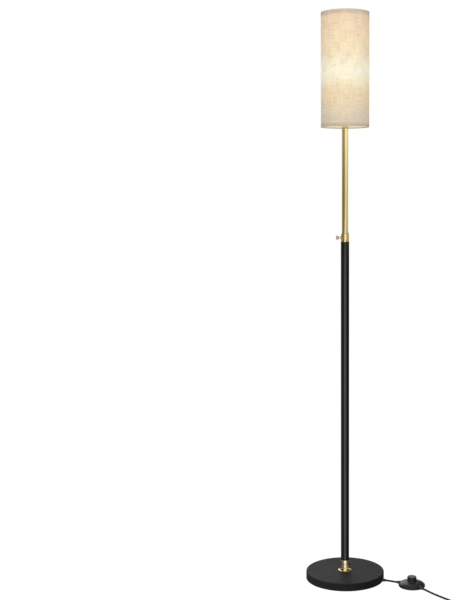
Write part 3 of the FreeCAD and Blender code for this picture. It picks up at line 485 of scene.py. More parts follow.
# every carried-over CAD node gets a worked-up material; most visible ones are replaced by finer pieces below
NODE_MAT = {
    "base_cover": "black_powder_coat", "base_weight": "weight_iron", "base_pad": "soft_pad", "base_washer": "zinc_steel",
    "base_lock_washer": "zinc_steel", "base_nut": "zinc_steel", "base_nipple": "zinc_steel", "base_coupling": "brass_turned",
    "cord_bushing": "plug_black", "pole_bottom_insert": "zinc_steel", "lower_pole_bottom_section": "black_tube_paint",
    "pole_joiner_stud": "zinc_steel", "pole_joiner_socket": "zinc_steel", "lower_pole_top_section": "black_tube_paint",
    "pole_collar": "brass_turned", "guide_bush": "brass_turned", "clamp_pad": "nylon", "thumbscrew": "brass_knob",
    "end_bush": "nylon", "end_ferrule": "zinc_steel", "upper_pole": "satin_brass", "top_insert": "zinc_steel",
    "top_nipple": "zinc_steel", "top_lock_nut": "contact_brass", "lampholder_cap": "holder_black", "lampholder_skirt": "holder_black",
    "lampholder_core": "holder_core", "lampholder_screw_shell": "contact_brass", "lampholder_center_contact": "contact_brass",
    "lampholder_terminal_screws": "zinc_steel", "shade_ring_nut": "holder_black", "shade_fabric": "linen", "shade_liner": "shade_liner",
    "shade_hems": "shade_liner", "shade_top_ring": "white_wire", "shade_spider": "white_wire", "bulb_cap": "bulb_cap_metal",
    "bulb_insulator": "holder_black", "bulb_tip": "zinc_steel", "bulb_body": "bulb_heat_sink", "bulb_led_board": "led_board",
    "bulb_globe": "bulb_white", "lead_lower": "lead_cover", "lead_slack": "lead_cover", "lead_upper": "lead_cover",
    "switch_base_plate": "switch_black", "switch_housing": "switch_black", "switch_button": "switch_black", "switch_spring": "zinc_steel",
    "switch_contact_block": "holder_core", "switch_screws": "zinc_steel", "switch_foot_pads": "soft_pad",
    "switch_strain_reliefs": "plug_black", "cord_base_to_switch": "cord_black", "cord_switch_to_coil": "cord_black",
    "cord_coil": "cord_black", "cord_coil_to_plug": "cord_black", "cord_tie": "tie_black", "plug_body": "plug_black",
    "plug_blades": "contact_brass",
}
for name, ob in NODES.items():
    mat = M[NODE_MAT[name]]
    if not ob.data.materials:
        ob.data.materials.append(mat)
    for s in ob.material_slots:
        s.material = mat

# ---------------------------------------------------------------- cords: the same route points as the CAD, in metres
ROUTE_1 = mm([
    (103.8, -29.8, 6.2),
    (122.5, -35.1, 6.2),
    (143.5, -42.4, 5.5),
    (166.8, -51.8, 5.6),
])
ROUTE_2 = mm([
    (220.8, -91.3, 5.6),
    (233.2, -105.9, 5.5),
    (249.4, -124.6, 3.3),
    (272.0, -151.6, 2.95),
    (301.5, -184.9, 2.95),
    (326.0, -213.6, 2.95),
    (346.3, -236.0, 2.95),
])
ROUTE_3 = mm([
    (313.9, -307.6, 8.75),
    (291.5, -307.9, 7.6),
    (271.0, -306.8, 5.2),
    (252.5, -304.9, 6.2),
    (232.0, -302.1, 7.6),
])
CORD_D = 5.8
COIL = (313.9, -264.6)
TIE_DEG = 150.0


def coil_points():
    """The coil's turns: the bottom layer winds inward, the top layer outward, twelve points a turn."""
    first, total, per = 41.4, 6.365, 12
    n = round(total * per)
    pts = []
    for i in range(1, n):
        turns = total * i / n
        deg = first - 360.0 * turns
        if turns < 3.1:
            r = 43.2 - 6.0 * turns
        elif turns < 3.3:
            r = 24.6
        else:
            r = 24.6 + (turns - 3.3) * (43.0 - 24.6) / (total - 3.3)
        rise = max(0.0, min(1.0, (turns - 2.95) / 0.36))
        z = 2.95 + 5.8 * rise * rise * (3 - 2 * rise)
        off_tie = abs((deg - TIE_DEG + 180.0) % 360.0 - 180.0)
        z += 0.55 * max(0.0, 1.0 - off_tie / 40.0)
        p = polar(r / 0.966, deg, z, COIL[0], COIL[1])
        pts.append(tuple(p * MM))
    return pts


def spline_cord(name, points, diameter_mm, mat, body):
    cu = bpy.data.curves.new(name, "CURVE")
    cu.dimensions = "3D"
    sp = cu.splines.new("NURBS")
    sp.points.add(len(points) - 1)
    for p, q in zip(sp.points, points):
        p.co = (*q, 1.0)
    sp.order_u = 3
    sp.use_endpoint_u = True
    sp.resolution_u = 6
    cu.bevel_depth = diameter_mm * MM / 2
    cu.bevel_resolution = 6
    cu.use_fill_caps = True
    cu.materials.append(mat)
    ob = bpy.data.objects.new(name, cu)
    scene.collection.objects.link(ob)
    return ob


cord_1 = spline_cord("flex_base_to_switch", ROUTE_1, CORD_D, M["cord_black"], "base_and_lower_pole")
put(cord_1, "base_and_lower_pole", ["cord_base_to_switch"])
cord_2 = spline_cord("flex_switch_to_plug", ROUTE_2 + coil_points() + ROUTE_3, CORD_D, M["cord_black"], "base_and_lower_pole")
put(cord_2, "base_and_lower_pole", ["cord_switch_to_coil", "cord_coil", "cord_coil_to_plug"])

# ---------------------------------------------------------------- base
BASE = "base_and_lower_pole"
BASE_R, BASE_TOP = 117.5, 24.4
LOWER_TOP = 1019.6

shell = lathe("base_shell", [
    (5.1, 23.4), (116.5, 23.4, 1.6), (116.5, 1.4), (117.5, 1.4), (117.5, 24.4, 2.6), (5.1, 24.4)],
    M["black_powder_coat"], segs=288, edge=0.25, step=7.0)
bm = bmesh.new()
half = [(4.6 * math.sin(math.radians(a)), 6.2 + 4.6 * math.cos(math.radians(a))) for a in range(-90, 91, 10)]
notch_2d = [(-4.6, -2.0)] + half + [(4.6, -2.0)]
near = [bm.verts.new(Vector((108.0, y, z)) * MM) for y, z in notch_2d]
far = [bm.verts.new(Vector((124.0, y, z)) * MM) for y, z in notch_2d]
bm.faces.new(near)
bm.faces.new(far)
for i in range(len(near)):
    k = (i + 1) % len(near)
    bm.faces.new((near[i], near[k], far[k], far[i]))
bmesh.ops.rotate(bm, verts=bm.verts, cent=(0, 0, 0), matrix=Matrix.Rotation(math.radians(-16.0), 3, "Z"))
cutter = finish_mesh("notch_cutter", bm, M["black_powder_coat"])
cut_with(shell, cutter)
put(shell, BASE, ["base_cover"])

coupling = lathe("base_coupling_turned", [
    (4.9, 24.4), (20.3, 24.4), (20.3, 26.6, 0.7), (17.6, 27.5, 2.0), (15.2, 32.5, 10.0), (13.7, 43.5, 40.0), (12.7, 57.5, 0.6), (4.9, 57.5)],
    M["brass_coupling"], segs=192, step=6.0)
put(coupling, BASE, ["base_coupling"])

# strain relief where the cord leaves the base: a ribbed taper
relief_rings = [(2.98, 104.5), (4.4, 104.5, 0.6), (4.4, 113.6), (5.5, 113.6, 0.5), (5.5, 116.4), (4.4, 116.4), (4.4, 117.6), (5.0, 117.6, 0.4),
                (4.95, 119.4, 0.2), (4.5, 119.7, 0.1), (4.45, 120.5, 0.1), (4.75, 120.8, 0.2), (4.55, 122.4, 0.2), (4.15, 122.7, 0.1), (4.1, 123.5, 0.1),
                (4.35, 123.8, 0.2), (4.15, 125.0, 0.2), (3.8, 125.3, 0.1), (3.7, 127.0, 0.3), (2.98, 127.0)]
bushing = lathe("cord_relief_base", relief_rings, M["plug_black"], segs=72, place=aim(heading(-16.0), (0, 0, 6.2)))
put(bushing, BASE, ["cord_bushing"])

# ---------------------------------------------------------------- lower pole, in two sections with a hairline joint
for piece, node, z0, z1, e0, e1 in (("pole_section_low", "lower_pole_bottom_section", 57.5, 537.98, 0.3, 0.25),
                                    ("pole_section_high", "lower_pole_top_section", 538.0, LOWER_TOP, 0.25, 0.35)):
    ob = lathe(piece, [(11.5, z0), (12.5, z0, e0), (12.5, z1, e1), (11.5, z1)], M["black_tube_paint"], segs=128)
    put(ob, BASE, [node])

# ---------------------------------------------------------------- collar, sleeve and clamp screw
SCREW_Z = 1031.5
bm = bmesh.new()
revolve(bm, rounded(mm([
    (10.6, 985.0), (11.5, 985.0, 0.4), (11.5, LOWER_TOP), (12.65, LOWER_TOP, 0.3), (12.65, LOWER_TOP + 1.3, 0.6),
    (12.15, LOWER_TOP + 3.9, 2.0), (12.15, 1044.0, 2.0), (10.6, 1044.0)]), 0.0001, 8.0), 160)
revolve(bm, rounded(mm([(2.56, 11.2), (4.6, 11.2), (4.6, 12.9, 0.9), (4.15, 13.8, 1.2), (4.1, 18.5, 0.5), (2.56, 18.5)]), 0.0001, 9.0), 96,
        aim((-1, 0, 0), (0, 0, SCREW_Z)))
collar = finish_mesh("collar_turned", bm, M["brass_turned"])
put(collar, BASE, ["pole_collar"])

sleeve = lathe("guide_sleeve", [
    (9.55, 972.0, 0.2), (10.6, 972.0, 0.2), (10.6, 984.0), (11.45, 984.0), (11.45, 985.0), (10.6, 985.0), (10.6, 1044.0),
    (10.05, 1044.0), (10.05, 1049.3, 0.3), (9.55, 1049.3)], M["brass_turned"], segs=144)
put(sleeve, BASE, ["guide_bush"])

TEETH = 30


def knurl(r, z, a):
    """The head's rim has straight grooves between its two rounded ends."""
    x = z / MM
    if r < 5.2 * MM or not 19.9 < x < 26.2:
        return r
    fade = min(1.0, (x - 19.9) / 0.5, (26.2 - x) / 0.6)
    phase = (a * TEETH / (2 * math.pi)) % 1.0
    d = abs(phase - 0.5) * 2
    groove = max(0.0, 1.0 - (d / 0.62) ** 2)
    return r - 0.34 * MM * fade * groove


screw_points = [(0.0, 14.06), (2.5, 14.06, 0.6), (2.5, 18.9), (3.6, 18.9, 0.3), (3.6, 19.3), (5.5, 19.3, 0.1), (6.3, 19.3, 0.8)]
screw_outline = rounded(mm(screw_points + [(6.3, 26.8, 0.9), (3.4, 26.8, 0.3), (2.8, 26.3, 0.3), (0.0, 26.3)]), 0.0001, 9.0)
dense = []
for i, p in enumerate(screw_outline):
    q = screw_outline[(i + 1) % len(screw_outline)]
    dense.append(p)
    if abs(p[0] - q[0]) < 1e-7 and p[0] > 6.2 * MM and abs(p[1] - q[1]) > 3 * MM:
        dense += [(p[0], p[1] + (q[1] - p[1]) * k / 14) for k in range(1, 14)]
bm = bmesh.new()
revolve(bm, dense, TEETH * 12, aim((-1, 0, 0), (0, 0, SCREW_Z)), knurl)
knob = finish_mesh("clamp_knob", bm, M["brass_knob"], sharp=40)
put(knob, "clamp_screw", ["thumbscrew"])

# ---------------------------------------------------------------- upper pole
tube = lathe("brass_pole", [(8.7, 914.0), (9.5, 914.0), (9.5, 1390.0, 0.3), (8.7, 1390.0)], M["satin_brass"], segs=128)
put(tube, "upper_lamp", ["upper_pole"])

# ---------------------------------------------------------------- lampholder
UP = "upper_lamp"
cap = lathe("holder_cap", [
    (4.9, 1394.0), (13.0, 1394.0, 1.5), (19.0, 1401.0, 3.0), (19.0, 1412.0), (17.0, 1412.0), (17.0, 1402.5, 1.0), (11.0, 1398.0), (4.9, 1398.0)],
    M["holder_black"], segs=128, step=7.0)
put(cap, UP, ["lampholder_cap"])
skirt = [(17.0, 1412.0), (24.5, 1412.0, 1.0), (24.5, 1418.0), (19.6, 1418.0)]
z = 1419.7
while z < 1443.0:
    skirt += [(19.6, z), (18.85, z + 0.8), (18.85, z + 1.2), (19.6, z + 2.0)]
    z += 2.5
skirt += [(19.6, 1446.0, 0.8), (17.0, 1446.0, 0.6)]
ob = lathe("holder_skirt", skirt, M["holder_black"], segs=128, edge=0.15)
put(ob, UP, ["lampholder_skirt"])


def ring_grips(r, z, a):
    phase = (a * 18 / (2 * math.pi)) % 1.0
    d = min(phase, 1 - phase) * 2 * math.pi * 27.0 / 18
    return r - max(0.0, math.sqrt(max(0.0, 1.1 ** 2 - d * d)) - 0.6) * MM if r > 25.5 * MM else r


nut_points = [(19.6, 1419.5), (27.0, 1419.5, 0.6), (27.0, 1426.0, 1.2), (21.5, 1426.0, 0.6), (21.0, 1424.0), (19.6, 1424.0)]
ob = lathe("ring_nut", nut_points, M["holder_black"], segs=360, radius_of=ring_grips)
put(ob, UP, ["shade_ring_nut"])
shell_pts = [(8.0, 1414.0), (13.75, 1414.0, 0.9), (13.75, 1442.5), (13.35, 1442.5), (13.35, 1414.4, 0.5), (8.0, 1414.4)]
ob = lathe("screw_shell", shell_pts, M["contact_brass"], segs=96)
put(ob, UP, ["lampholder_screw_shell"])

# ---------------------------------------------------------------- bulb
cap_pts = [(0.0, 1421.0), (9.0, 1421.0), (12.2, 1422.0)]
z = 1423.0
while z < 1439.5:
    cap_pts += [(12.2, z, 0.5), (13.1, z + 1.8, 0.7)]
    z += 3.6
cap_pts += [(12.6, 1441.4, 0.4), (13.0, 1445.0), (12.4, 1445.0), (12.0, 1441.0), (0.0, 1441.0)]
ob = lathe("bulb_screw_cap", cap_pts, M["bulb_cap_metal"], segs=96, step=9.0)
put(ob, UP, ["bulb_cap"])
ob = lathe("bulb_neck", [
    (0.0, 1441.0), (12.0, 1441.0), (12.4, 1445.0), (13.4, 1445.0, 0.6), (16.0, 1450.0, 6.0), (24.6, 1466.0, 10.0), (27.4, 1474.0, 0.8),
    (25.4, 1474.0), (14.0, 1455.0), (0.0, 1455.0)], M["bulb_heat_sink"], segs=128, step=6.0)
put(ob, UP, ["bulb_body"])
glass_out = [(26.0, 1474.0), (27.6, 1479.0), (29.0, 1486.0), (29.9, 1494.0), (29.9, 1500.5), (28.9, 1507.5), (26.0, 1514.5), (21.0, 1520.6), (14.0, 1524.9), (7.0, 1526.6), (0.0, 1527.0)]


def smooth_line(points, per=5):
    """A Catmull-Rom line through points."""
    p = [points[0]] + list(points) + [points[-1]]
    out = []
    for i in range(1, len(p) - 2):
        for k in range(per):
            t = k / per
            out.append(tuple(0.5 * (2 * p[i][c] + (p[i + 1][c] - p[i - 1][c]) * t + (2 * p[i - 1][c] - 5 * p[i][c] + 4 * p[i + 1][c] - p[i + 2][c]) * t * t
                                    + (3 * p[i][c] - p[i - 1][c] - 3 * p[i + 1][c] + p[i + 2][c]) * t ** 3) for c in (0, 1)))
    out.append(points[-1])
    return out


line = smooth_line(glass_out)
line = line[:-1] + [(0.0, 1527.0), (0.0, 1525.8)]
inner = [(max(0.0, r - 1.2), z - (1.2 if i > len(line) * 0.5 else 0.2)) for i, (r, z) in enumerate(line[:-2])][::-1]
inner = [(r, max(1474.0, z)) for r, z in inner if r > 0.4]
bm = bmesh.new()
revolve(bm, mm(line + inner), 128)
ob = finish_mesh("bulb_glass", bm, M["bulb_white"])
put(ob, UP, ["bulb_globe"])

# ---------------------------------------------------------------- shade
SHADE_R = 70.2


def drum(name, mats, rows, segs=360, start_deg=92.0):
    """A sheet round the drum. rows are (radius, z, v) in millimetres, closed top to bottom outside and back up inside. It has a seam in its UV only."""
    bm = bmesh.new()
    uv = bm.loops.layers.uv.new("UVMap")
    rings = []
    for j in range(segs):
        a = math.radians(start_deg) + 2 * math.pi * j / segs
        rings.append([bm.verts.new(Vector((r * math.cos(a), r * math.sin(a), z)) * MM) for r, z, _ in rows])
    n = len(rows)
    for j in range(segs):
        a, b = rings[j], rings[(j + 1) % segs]
        for i in range(n):
            k = (i + 1) % n
            f = bm.faces.new((a[i], b[i], b[k], a[k]))
            for loop, (jj, ii) in zip(f.loops, ((j, i), (j + 1, i), (j + 1, k), (j, k))):
                loop[uv].uv = (2 * math.pi * SHADE_R * MM * jj / segs, rows[ii][2] * MM)
    return finish_mesh(name, bm, mats, sharp=50, weld=False)


# the cloth goes up the outside, turns over the wires at both rims, and comes back a little way inside
def cloth_rows():
    out_r, t = SHADE_R, 0.5
    rows = []
    for z in np.linspace(SHADE_LOW + 0.25, SHADE_TOP - 0.25, 60):
        rows.append((out_r, float(z), float(z)))
    rows += [(out_r - 0.07, SHADE_TOP - 0.07, SHADE_TOP), (out_r - t / 2, SHADE_TOP, SHADE_TOP + 0.2), (out_r - t + 0.07, SHADE_TOP - 0.07, SHADE_TOP + 0.4)]
    for z in np.linspace(SHADE_TOP - 0.25, SHADE_LOW + 0.25, 16):
        rows.append((out_r - t, float(z), float(z)))
    rows += [(out_r - t + 0.07, SHADE_LOW + 0.07, SHADE_LOW - 0.4), (out_r - t / 2, SHADE_LOW, SHADE_LOW - 0.2), (out_r - 0.07, SHADE_LOW + 0.07, SHADE_LOW)]
    return rows


cloth = drum("shade_linen", [M["linen"]], cloth_rows())
put(cloth, UP, ["shade_fabric"])

ob = drum("shade_lining", [M["shade_liner"]], [
    (69.7, SHADE_LOW + 0.4, SHADE_LOW), (69.7, SHADE_TOP - 0.4, SHADE_TOP), (69.3, SHADE_TOP - 0.4, SHADE_TOP), (69.3, 1516.0, 1516.0), (69.3, SHADE_LOW + 0.4, SHADE_LOW)])
put(ob, UP, ["shade_liner"])
for nm, z0, z1 in (("shade_hem_low", SHADE_LOW + 0.4, SHADE_LOW + 11.0), ("shade_hem_top", SHADE_TOP - 11.0, SHADE_TOP - 0.4)):
    ob = drum(nm, [M["hem"]], [(69.3, z0, z0), (69.3, z1, z1), (69.0, z1, z1), (69.0, z0, z0)])
    put(ob, UP, ["shade_hems"])


def wire_ring(name, r_mm, z_mm, wire_mm, mat):
    bm = bmesh.new()
    big, small = 256, 20
    rings = []
    for j in range(big):
        a = 2 * math.pi * j / big
        rings.append([bm.verts.new(Vector(((r_mm + wire_mm * math.cos(b)) * math.cos(a), (r_mm + wire_mm * math.cos(b)) * math.sin(a), z_mm + wire_mm * math.sin(b))) * MM)
                      for b in [2 * math.pi * k / small for k in range(small)]])
    for j in range(big):
        for k in range(small):
            bm.faces.new((rings[j][k], rings[(j + 1) % big][k], rings[(j + 1) % big][(k + 1) % small], rings[j][(k + 1) % small]))
    return bm


ob = finish_mesh("top_wire", wire_ring("", 67.8, SHADE_TOP - 2.0, 1.2, None), M["white_wire"])
put(ob, UP, ["shade_top_ring"])
bm = wire_ring("", 67.8, SHADE_LOW + 2.0, 1.2, None)
revolve(bm, rounded(mm([(19.7, 1418.0), (27.5, 1418.0), (27.5, 1419.5), (19.7, 1419.5)]), 0.0003, 12.0), 128)
for a in (90.0, 210.0, 330.0):
    # an arm from under the fitter ring, bent at both ends, to the low wire
    line = [polar(22.0, a, 1417.0), polar(27.5, a, 1416.4), polar(33.0, a, 1409.5), polar(45.0, a, 1391.8), polar(56.0, a, 1374.2), polar(63.5, a, 1361.0), polar(66.6, a, 1356.3), polar(67.6, a, 1354.9)]
    pts = [Vector((p[0], p[1])) for p in smooth_line([(v.xy.length, v.z) for v in line], 6)]
    pts3 = [polar(p.x, a, p.y) for p in pts]
    prev = None
    side = Vector((-math.sin(math.radians(a)), math.cos(math.radians(a)), 0))
    for i, p in enumerate(pts3):
        d = (pts3[min(i + 1, len(pts3) - 1)] - pts3[max(i - 1, 0)]).normalized()
        nrm = side.cross(d)
        ring = [bm.verts.new((p + (side * math.cos(t) + nrm * math.sin(t)) * 1.5) * MM) for t in [2 * math.pi * k / 16 for k in range(16)]]
        if prev:
            for k in range(16):
                bm.faces.new((prev[k], prev[(k + 1) % 16], ring[(k + 1) % 16], ring[k]))
        else:
            bm.faces.new(ring)
        prev = ring
    bm.faces.new(prev[::-1])
spider = finish_mesh("spider_wires", bm, M["white_wire"], weld=False)
put(spider, UP, ["shade_spider"])

# ---------------------------------------------------------------- foot switch
SX, SY, SR = 198.3, -64.5, 39.4
HOLE = 14.2


def dome(r):
    return 3.6 + 13.6 * math.sqrt(max(0.0, 1 - (r / SR) ** 2))


outer = []
first_t = math.asin((HOLE + 2.4) / SR)
for k in range(0, 41):
    t = first_t + (math.pi / 2 - first_t) * k / 40
    outer.append((SR * math.sin(t), 3.6 + 13.6 * math.cos(t)))
lip = [(HOLE, dome(HOLE) + 0.9), (HOLE + 0.3, dome(HOLE) + 1.22), (HOLE + 0.8, dome(HOLE + 0.8) + 1.15), (HOLE + 1.4, dome(HOLE + 1.4) + 0.7), (HOLE + 1.9, dome(HOLE + 1.9) + 0.2)]
under = [(SR, 1.9), (SR - 0.25, 1.35), (SR - 0.7, 1.0), (SR - 1.6, 1.0), (SR - 1.6, 3.05)]
inside = [(SR * 0.947 * math.sin(t), 1.6 + 13.4 * math.cos(t)) for t in [math.pi / 2 * (1 - k / 14) for k in range(2, 11)]]
prof = lip + outer + under + [(r, max(3.05, z)) for r, z in inside if r > HOLE + 0.1] + [(HOLE, 13.4)]
bm = bmesh.new()
revolve(bm, mm(prof), 192, Matrix.Translation(Vector((SX, SY, 0)) * MM))
for a in (158.0, -50.0):
    way = heading(a)
    base = Vector((SX, SY, 5.6))
    m4 = aim(way, base)
    revolve(bm, rounded(mm([(4.5, 31.0), (5.6, 31.0), (5.6, 39.0, 0.5), (4.5, 39.0, 0.2)]), 0.0001, 12.0), 64, m4)
for v in bm.verts:
    if v.co.z < 1.0 * MM:
        v.co.z = 1.0 * MM
housing = finish_mesh("switch_shell", bm, M["switch_black"])
put(housing, BASE, ["switch_housing"])

relief = [(2.98, 26.0), (5.0, 26.0, 0.4), (5.0, 29.2), (4.4, 29.2), (4.4, 39.1), (4.8, 39.1, 0.3), (4.75, 40.9, 0.2), (4.3, 41.2, 0.1), (4.25, 42.1, 0.1),
          (4.5, 42.4, 0.2), (4.3, 43.9, 0.2), (3.85, 44.2, 0.1), (3.8, 45.0, 0.1), (3.75, 47.0, 0.3), (2.98, 47.0)]
for nm, a in (("cord_relief_in", 158.0), ("cord_relief_out", -50.0)):
    ob = lathe(nm, relief, M["plug_black"], segs=64, place=aim(heading(a), (SX, SY, 5.6)))
    put(ob, BASE, ["switch_strain_reliefs"])

button = lathe("foot_button_cap", [
    (0.0, 27.6), (12.0, 27.6, 1.0), (12.0, 10.9), (15.2, 10.9, 0.4), (15.2, 12.5, 0.4), (13.8, 12.5), (13.8, 29.9, 2.2), (9.6, 29.9, 0.6), (9.2, 29.5, 0.5), (0.0, 29.5)],
    M["switch_black"], segs=128, place=Matrix.Translation(Vector((SX, SY, 0)) * MM), step=7.0)
put(button, "foot_button", ["switch_button"])

# ---------------------------------------------------------------- the button's spring, drawn at its rest length; the real one shortens as the button goes down
bm = bmesh.new()
WIRE, COIL_R, Z_LO, Z_HI, TURNS = 0.44, 5.2, 12.57, 26.86, 5.0
last, n_s = None, 200
for i in range(n_s + 1):
    t = i / n_s
    # a closed dead turn at each end, as a pressed spring has
    rise = max(0.0, min(1.0, (t - 0.10) / 0.80))
    a = 2 * math.pi * TURNS * t
    mid = Vector((COIL_R * math.cos(a), COIL_R * math.sin(a), Z_LO + (Z_HI - Z_LO) * rise))
    out_way = Vector((math.cos(a), math.sin(a), 0.0))
    ring_v = [bm.verts.new((mid + out_way * WIRE * math.cos(2 * math.pi * k / 10) + Vector((0, 0, WIRE * math.sin(2 * math.pi * k / 10))) + Vector((SX, SY, 0.0))) * MM) for k in range(10)]
    if last:
        for k in range(10):
            bm.faces.new((last[k], last[(k + 1) % 10], ring_v[(k + 1) % 10], ring_v[k]))
    else:
        bm.faces.new(ring_v[::-1])
    last = ring_v
bm.faces.new(last)
spring = finish_mesh("button_spring", bm, M["zinc_steel"], sharp=50)
put(spring, BASE, ["switch_spring"])
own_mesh(spring)

# ---------------------------------------------------------------- the overlap at the back of the shade
bm = bmesh.new()
uv_l = bm.loops.layers.uv.new("UV")
seam_r, seam_a, seam_w = 70.2, math.radians(92.0), 12.0 / 70.2
cols, rws = 28, 150
grid, grid_uv = [], []
for i in range(cols + 1):
    t = i / cols
    lift = 0.42 * min(1.0, t / 0.05, (1.0 - t) / 0.03) ** 0.5 if 0 < t < 1 else -0.05
    line, line_uv = [], []
    for j in range(rws + 1):
        z = SHADE_LOW + 0.3 + (SHADE_TOP - SHADE_LOW - 0.6) * j / rws
        ragged_edge = 0.16 * math.sin(j * 0.41) * math.sin(j * 0.083 + 1.0) / 70.2 * (1.0 if t > 0.5 else 0.2)
        a = seam_a + seam_w * t + ragged_edge
        end = 0.25 if j in (0, rws) else 1.0
        line.append(bm.verts.new(Vector(((seam_r + lift * end) * math.cos(a), (seam_r + lift * end) * math.sin(a), z)) * MM))
        line_uv.append((0.91 + 0.0702 * (a - seam_a), z * MM))
    grid.append(line)
    grid_uv.append(line_uv)
for i in range(cols):
    for j in range(rws):
        f = bm.faces.new((grid[i][j], grid[i + 1][j], grid[i + 1][j + 1], grid[i][j + 1]))
        for loop, (ii, jj) in zip(f.loops, ((i, j), (i + 1, j), (i + 1, j + 1), (i, j + 1))):
            loop[uv_l].uv = grid_uv[ii][jj]
seam = finish_mesh("shade_seam", bm, M["linen_seam"], weld=False)
put(seam, UP, ["shade_fabric"])

# ---------------------------------------------------------------- plug, with its ribbed strain relief, and its blades
PLUG_PLACE = Matrix.Translation(Vector((240.0, -303.2, 7.2)) * MM) @ Matrix.Rotation(math.radians(172.2), 4, "Z")
along = PLUG_PLACE @ aim((1, 0, 0))


def grip_size(x):
    """Half width and half height of the moulded body at a distance from the tip."""
    k = max(0.0, min(1.0, (x - 24.0) / 6.0))
    k = k * k * (3 - 2 * k)
    wide = 7.6 + 3.3 * k + max(0.0, x - 30.0) * 0.046
    high = 5.2 + 0.95 * k + max(0.0, x - 30.0) * 0.029
    return wide, high


bm = bmesh.new()
taper = [(2.9, 0.0), (3.7, 0.0, 0.3)]
for i in range(4):
    x, r = 2.4 + 5.0 * i, 3.8 + 0.32 * i
    taper += [(r, x, 0.15), (r - 0.45, x + 0.4, 0.1), (r - 0.4, x + 1.6, 0.1), (r + 0.12, x + 2.0, 0.2)]
taper += [(5.2, 22.0, 1.0), (5.1, 25.5), (2.9, 25.5)]
revolve(bm, rounded(mm(taper), 0.0001, 12.0), 72, along)
stations = [(24.0, -1.6), (24.25, -0.8), (24.8, -0.3), (25.6, 0.0)] + [(26.6 + 1.1 * k, 0.0) for k in range(27)] + [(56.1, 0.0), (56.55, -0.12), (56.85, -0.4), (57.0, -0.9)]
grip_rings, N_G = [], 96
for x, inset in stations:
    wide, high = grip_size(x)
    # three finger grooves across the top, the underside and the flanks
    for c in (34.5, 39.0, 43.5):
        d = abs(x - c)
        if d < 1.3:
            inset = min(inset, -0.34 * (0.5 + 0.5 * math.cos(math.pi * d / 1.3)))
    ring = []
    for k in range(N_G):
        a = 2 * math.pi * k / N_G
        c, s_ = math.cos(a), math.sin(a)
        e = 2.0 / 5.0
        ring.append(bm.verts.new(PLUG_PLACE @ (Vector((x, math.copysign(abs(c) ** e, c) * (wide + inset), math.copysign(abs(s_) ** e, s_) * (high + inset))) * MM)))
    if grip_rings:
        prev = grip_rings[-1]
        for k in range(N_G):
            bm.faces.new((prev[k], prev[(k + 1) % N_G], ring[(k + 1) % N_G], ring[k]))
    else:
        bm.faces.new(ring[::-1])
    grip_rings.append(ring)
bm.faces.new(grip_rings[-1])
plug = finish_mesh("plug_moulded", bm, M["plug_black"], sharp=40)
put(plug, BASE, ["plug_body"])

bm = bmesh.new()
for y_mid, w in ((-6.35, 6.35), (6.35, 7.9)):
    outline = rounded(mm([(53.0, -w / 2), (74.5, -w / 2, 1.6), (74.5, w / 2, 1.6), (53.0, w / 2)]), 0.0, 15.0)
    hole_pts = [(70.3 * MM + 1.6 * MM * math.cos(2 * math.pi * k / 24), 1.6 * MM * math.sin(2 * math.pi * k / 24)) for k in range(24)]
    layers = []
    for y_side, shrink in ((-0.75, 0.12), (-0.63, 0.0), (0.63, 0.0), (0.75, 0.12)):
        mid_x, lo = 64.0 * MM, []
        for px, pz in outline:
            lo.append(bm.verts.new(PLUG_PLACE @ Vector((px - math.copysign(shrink * MM, px - mid_x), (y_mid + y_side) * MM, pz - math.copysign(shrink * MM, pz)))))
        hi = [bm.verts.new(PLUG_PLACE @ Vector((px, (y_mid + y_side) * MM, pz))) for px, pz in hole_pts]
        layers.append((lo, hi))
    for (lo_a, hi_a), (lo_b, hi_b) in zip(layers, layers[1:]):
        for ra, rb in ((lo_a, lo_b), (hi_a, hi_b)):
            for k in range(len(ra)):
                bm.faces.new((ra[k], ra[(k + 1) % len(ra)], rb[(k + 1) % len(ra)], rb[k]))
    for lo, hi in (layers[0], layers[-1]):
        edges = [bm.edges.get((r_[k], r_[(k + 1) % len(r_)])) for r_ in (lo, hi) for k in range(len(r_))]
        bmesh.ops.triangle_fill(bm, use_beauty=True, use_dissolve=True, edges=edges)
blades = finish_mesh("plug_contact_blades", bm, M["contact_brass"], sharp=30)
put(blades, BASE, ["plug_blades"])

# ---------------------------------------------------------------- the strap round the coil, with its head and its toothed tail
TIE_PLACE = Matrix.Translation(Vector((COIL[0], COIL[1], 0.0)) * MM) @ Matrix.Rotation(math.radians(TIE_DEG), 4, "Z")
bm = bmesh.new()


def strap_loop(grow, r_corner):
    return rounded([(19.8 - grow, 0.45 - grow, r_corner), (47.6 + grow, 0.45 - grow, r_corner), (47.6 + grow, 12.4 + grow, r_corner), (19.8 - grow, 12.4 + grow, r_corner)], 0.0, 8.0)


mid_loop = strap_loop(0.0, 3.0)
inner_loop, outer_loop = [], []
n_l = len(mid_loop)
section = [(-2.0, -0.28), (-1.85, -0.42), (1.85, -0.42), (2.0, -0.28), (2.0, 0.28), (1.85, 0.42), (-1.85, 0.42), (-2.0, 0.28)]
prev = first_ring = None
for i in range(n_l):
    p0, p1, p2 = Vector(mid_loop[i - 1]), Vector(mid_loop[i]), Vector(mid_loop[(i + 1) % n_l])
    t = ((p1 - p0).normalized() + (p2 - p1).normalized()).normalized()
    out_way = Vector((t.y, -t.x))
    ring = [bm.verts.new(TIE_PLACE @ (Vector((p1.x + out_way.x * o, w, p1.y + out_way.y * o)) * MM)) for w, o in section]
    if prev:
        for k in range(8):
            bm.faces.new((prev[k], prev[(k + 1) % 8], ring[(k + 1) % 8], ring[k]))
    else:
        first_ring = ring
    prev = ring
for k in range(8):
    bm.faces.new((prev[k], prev[(k + 1) % 8], first_ring[(k + 1) % 8], first_ring[k]))


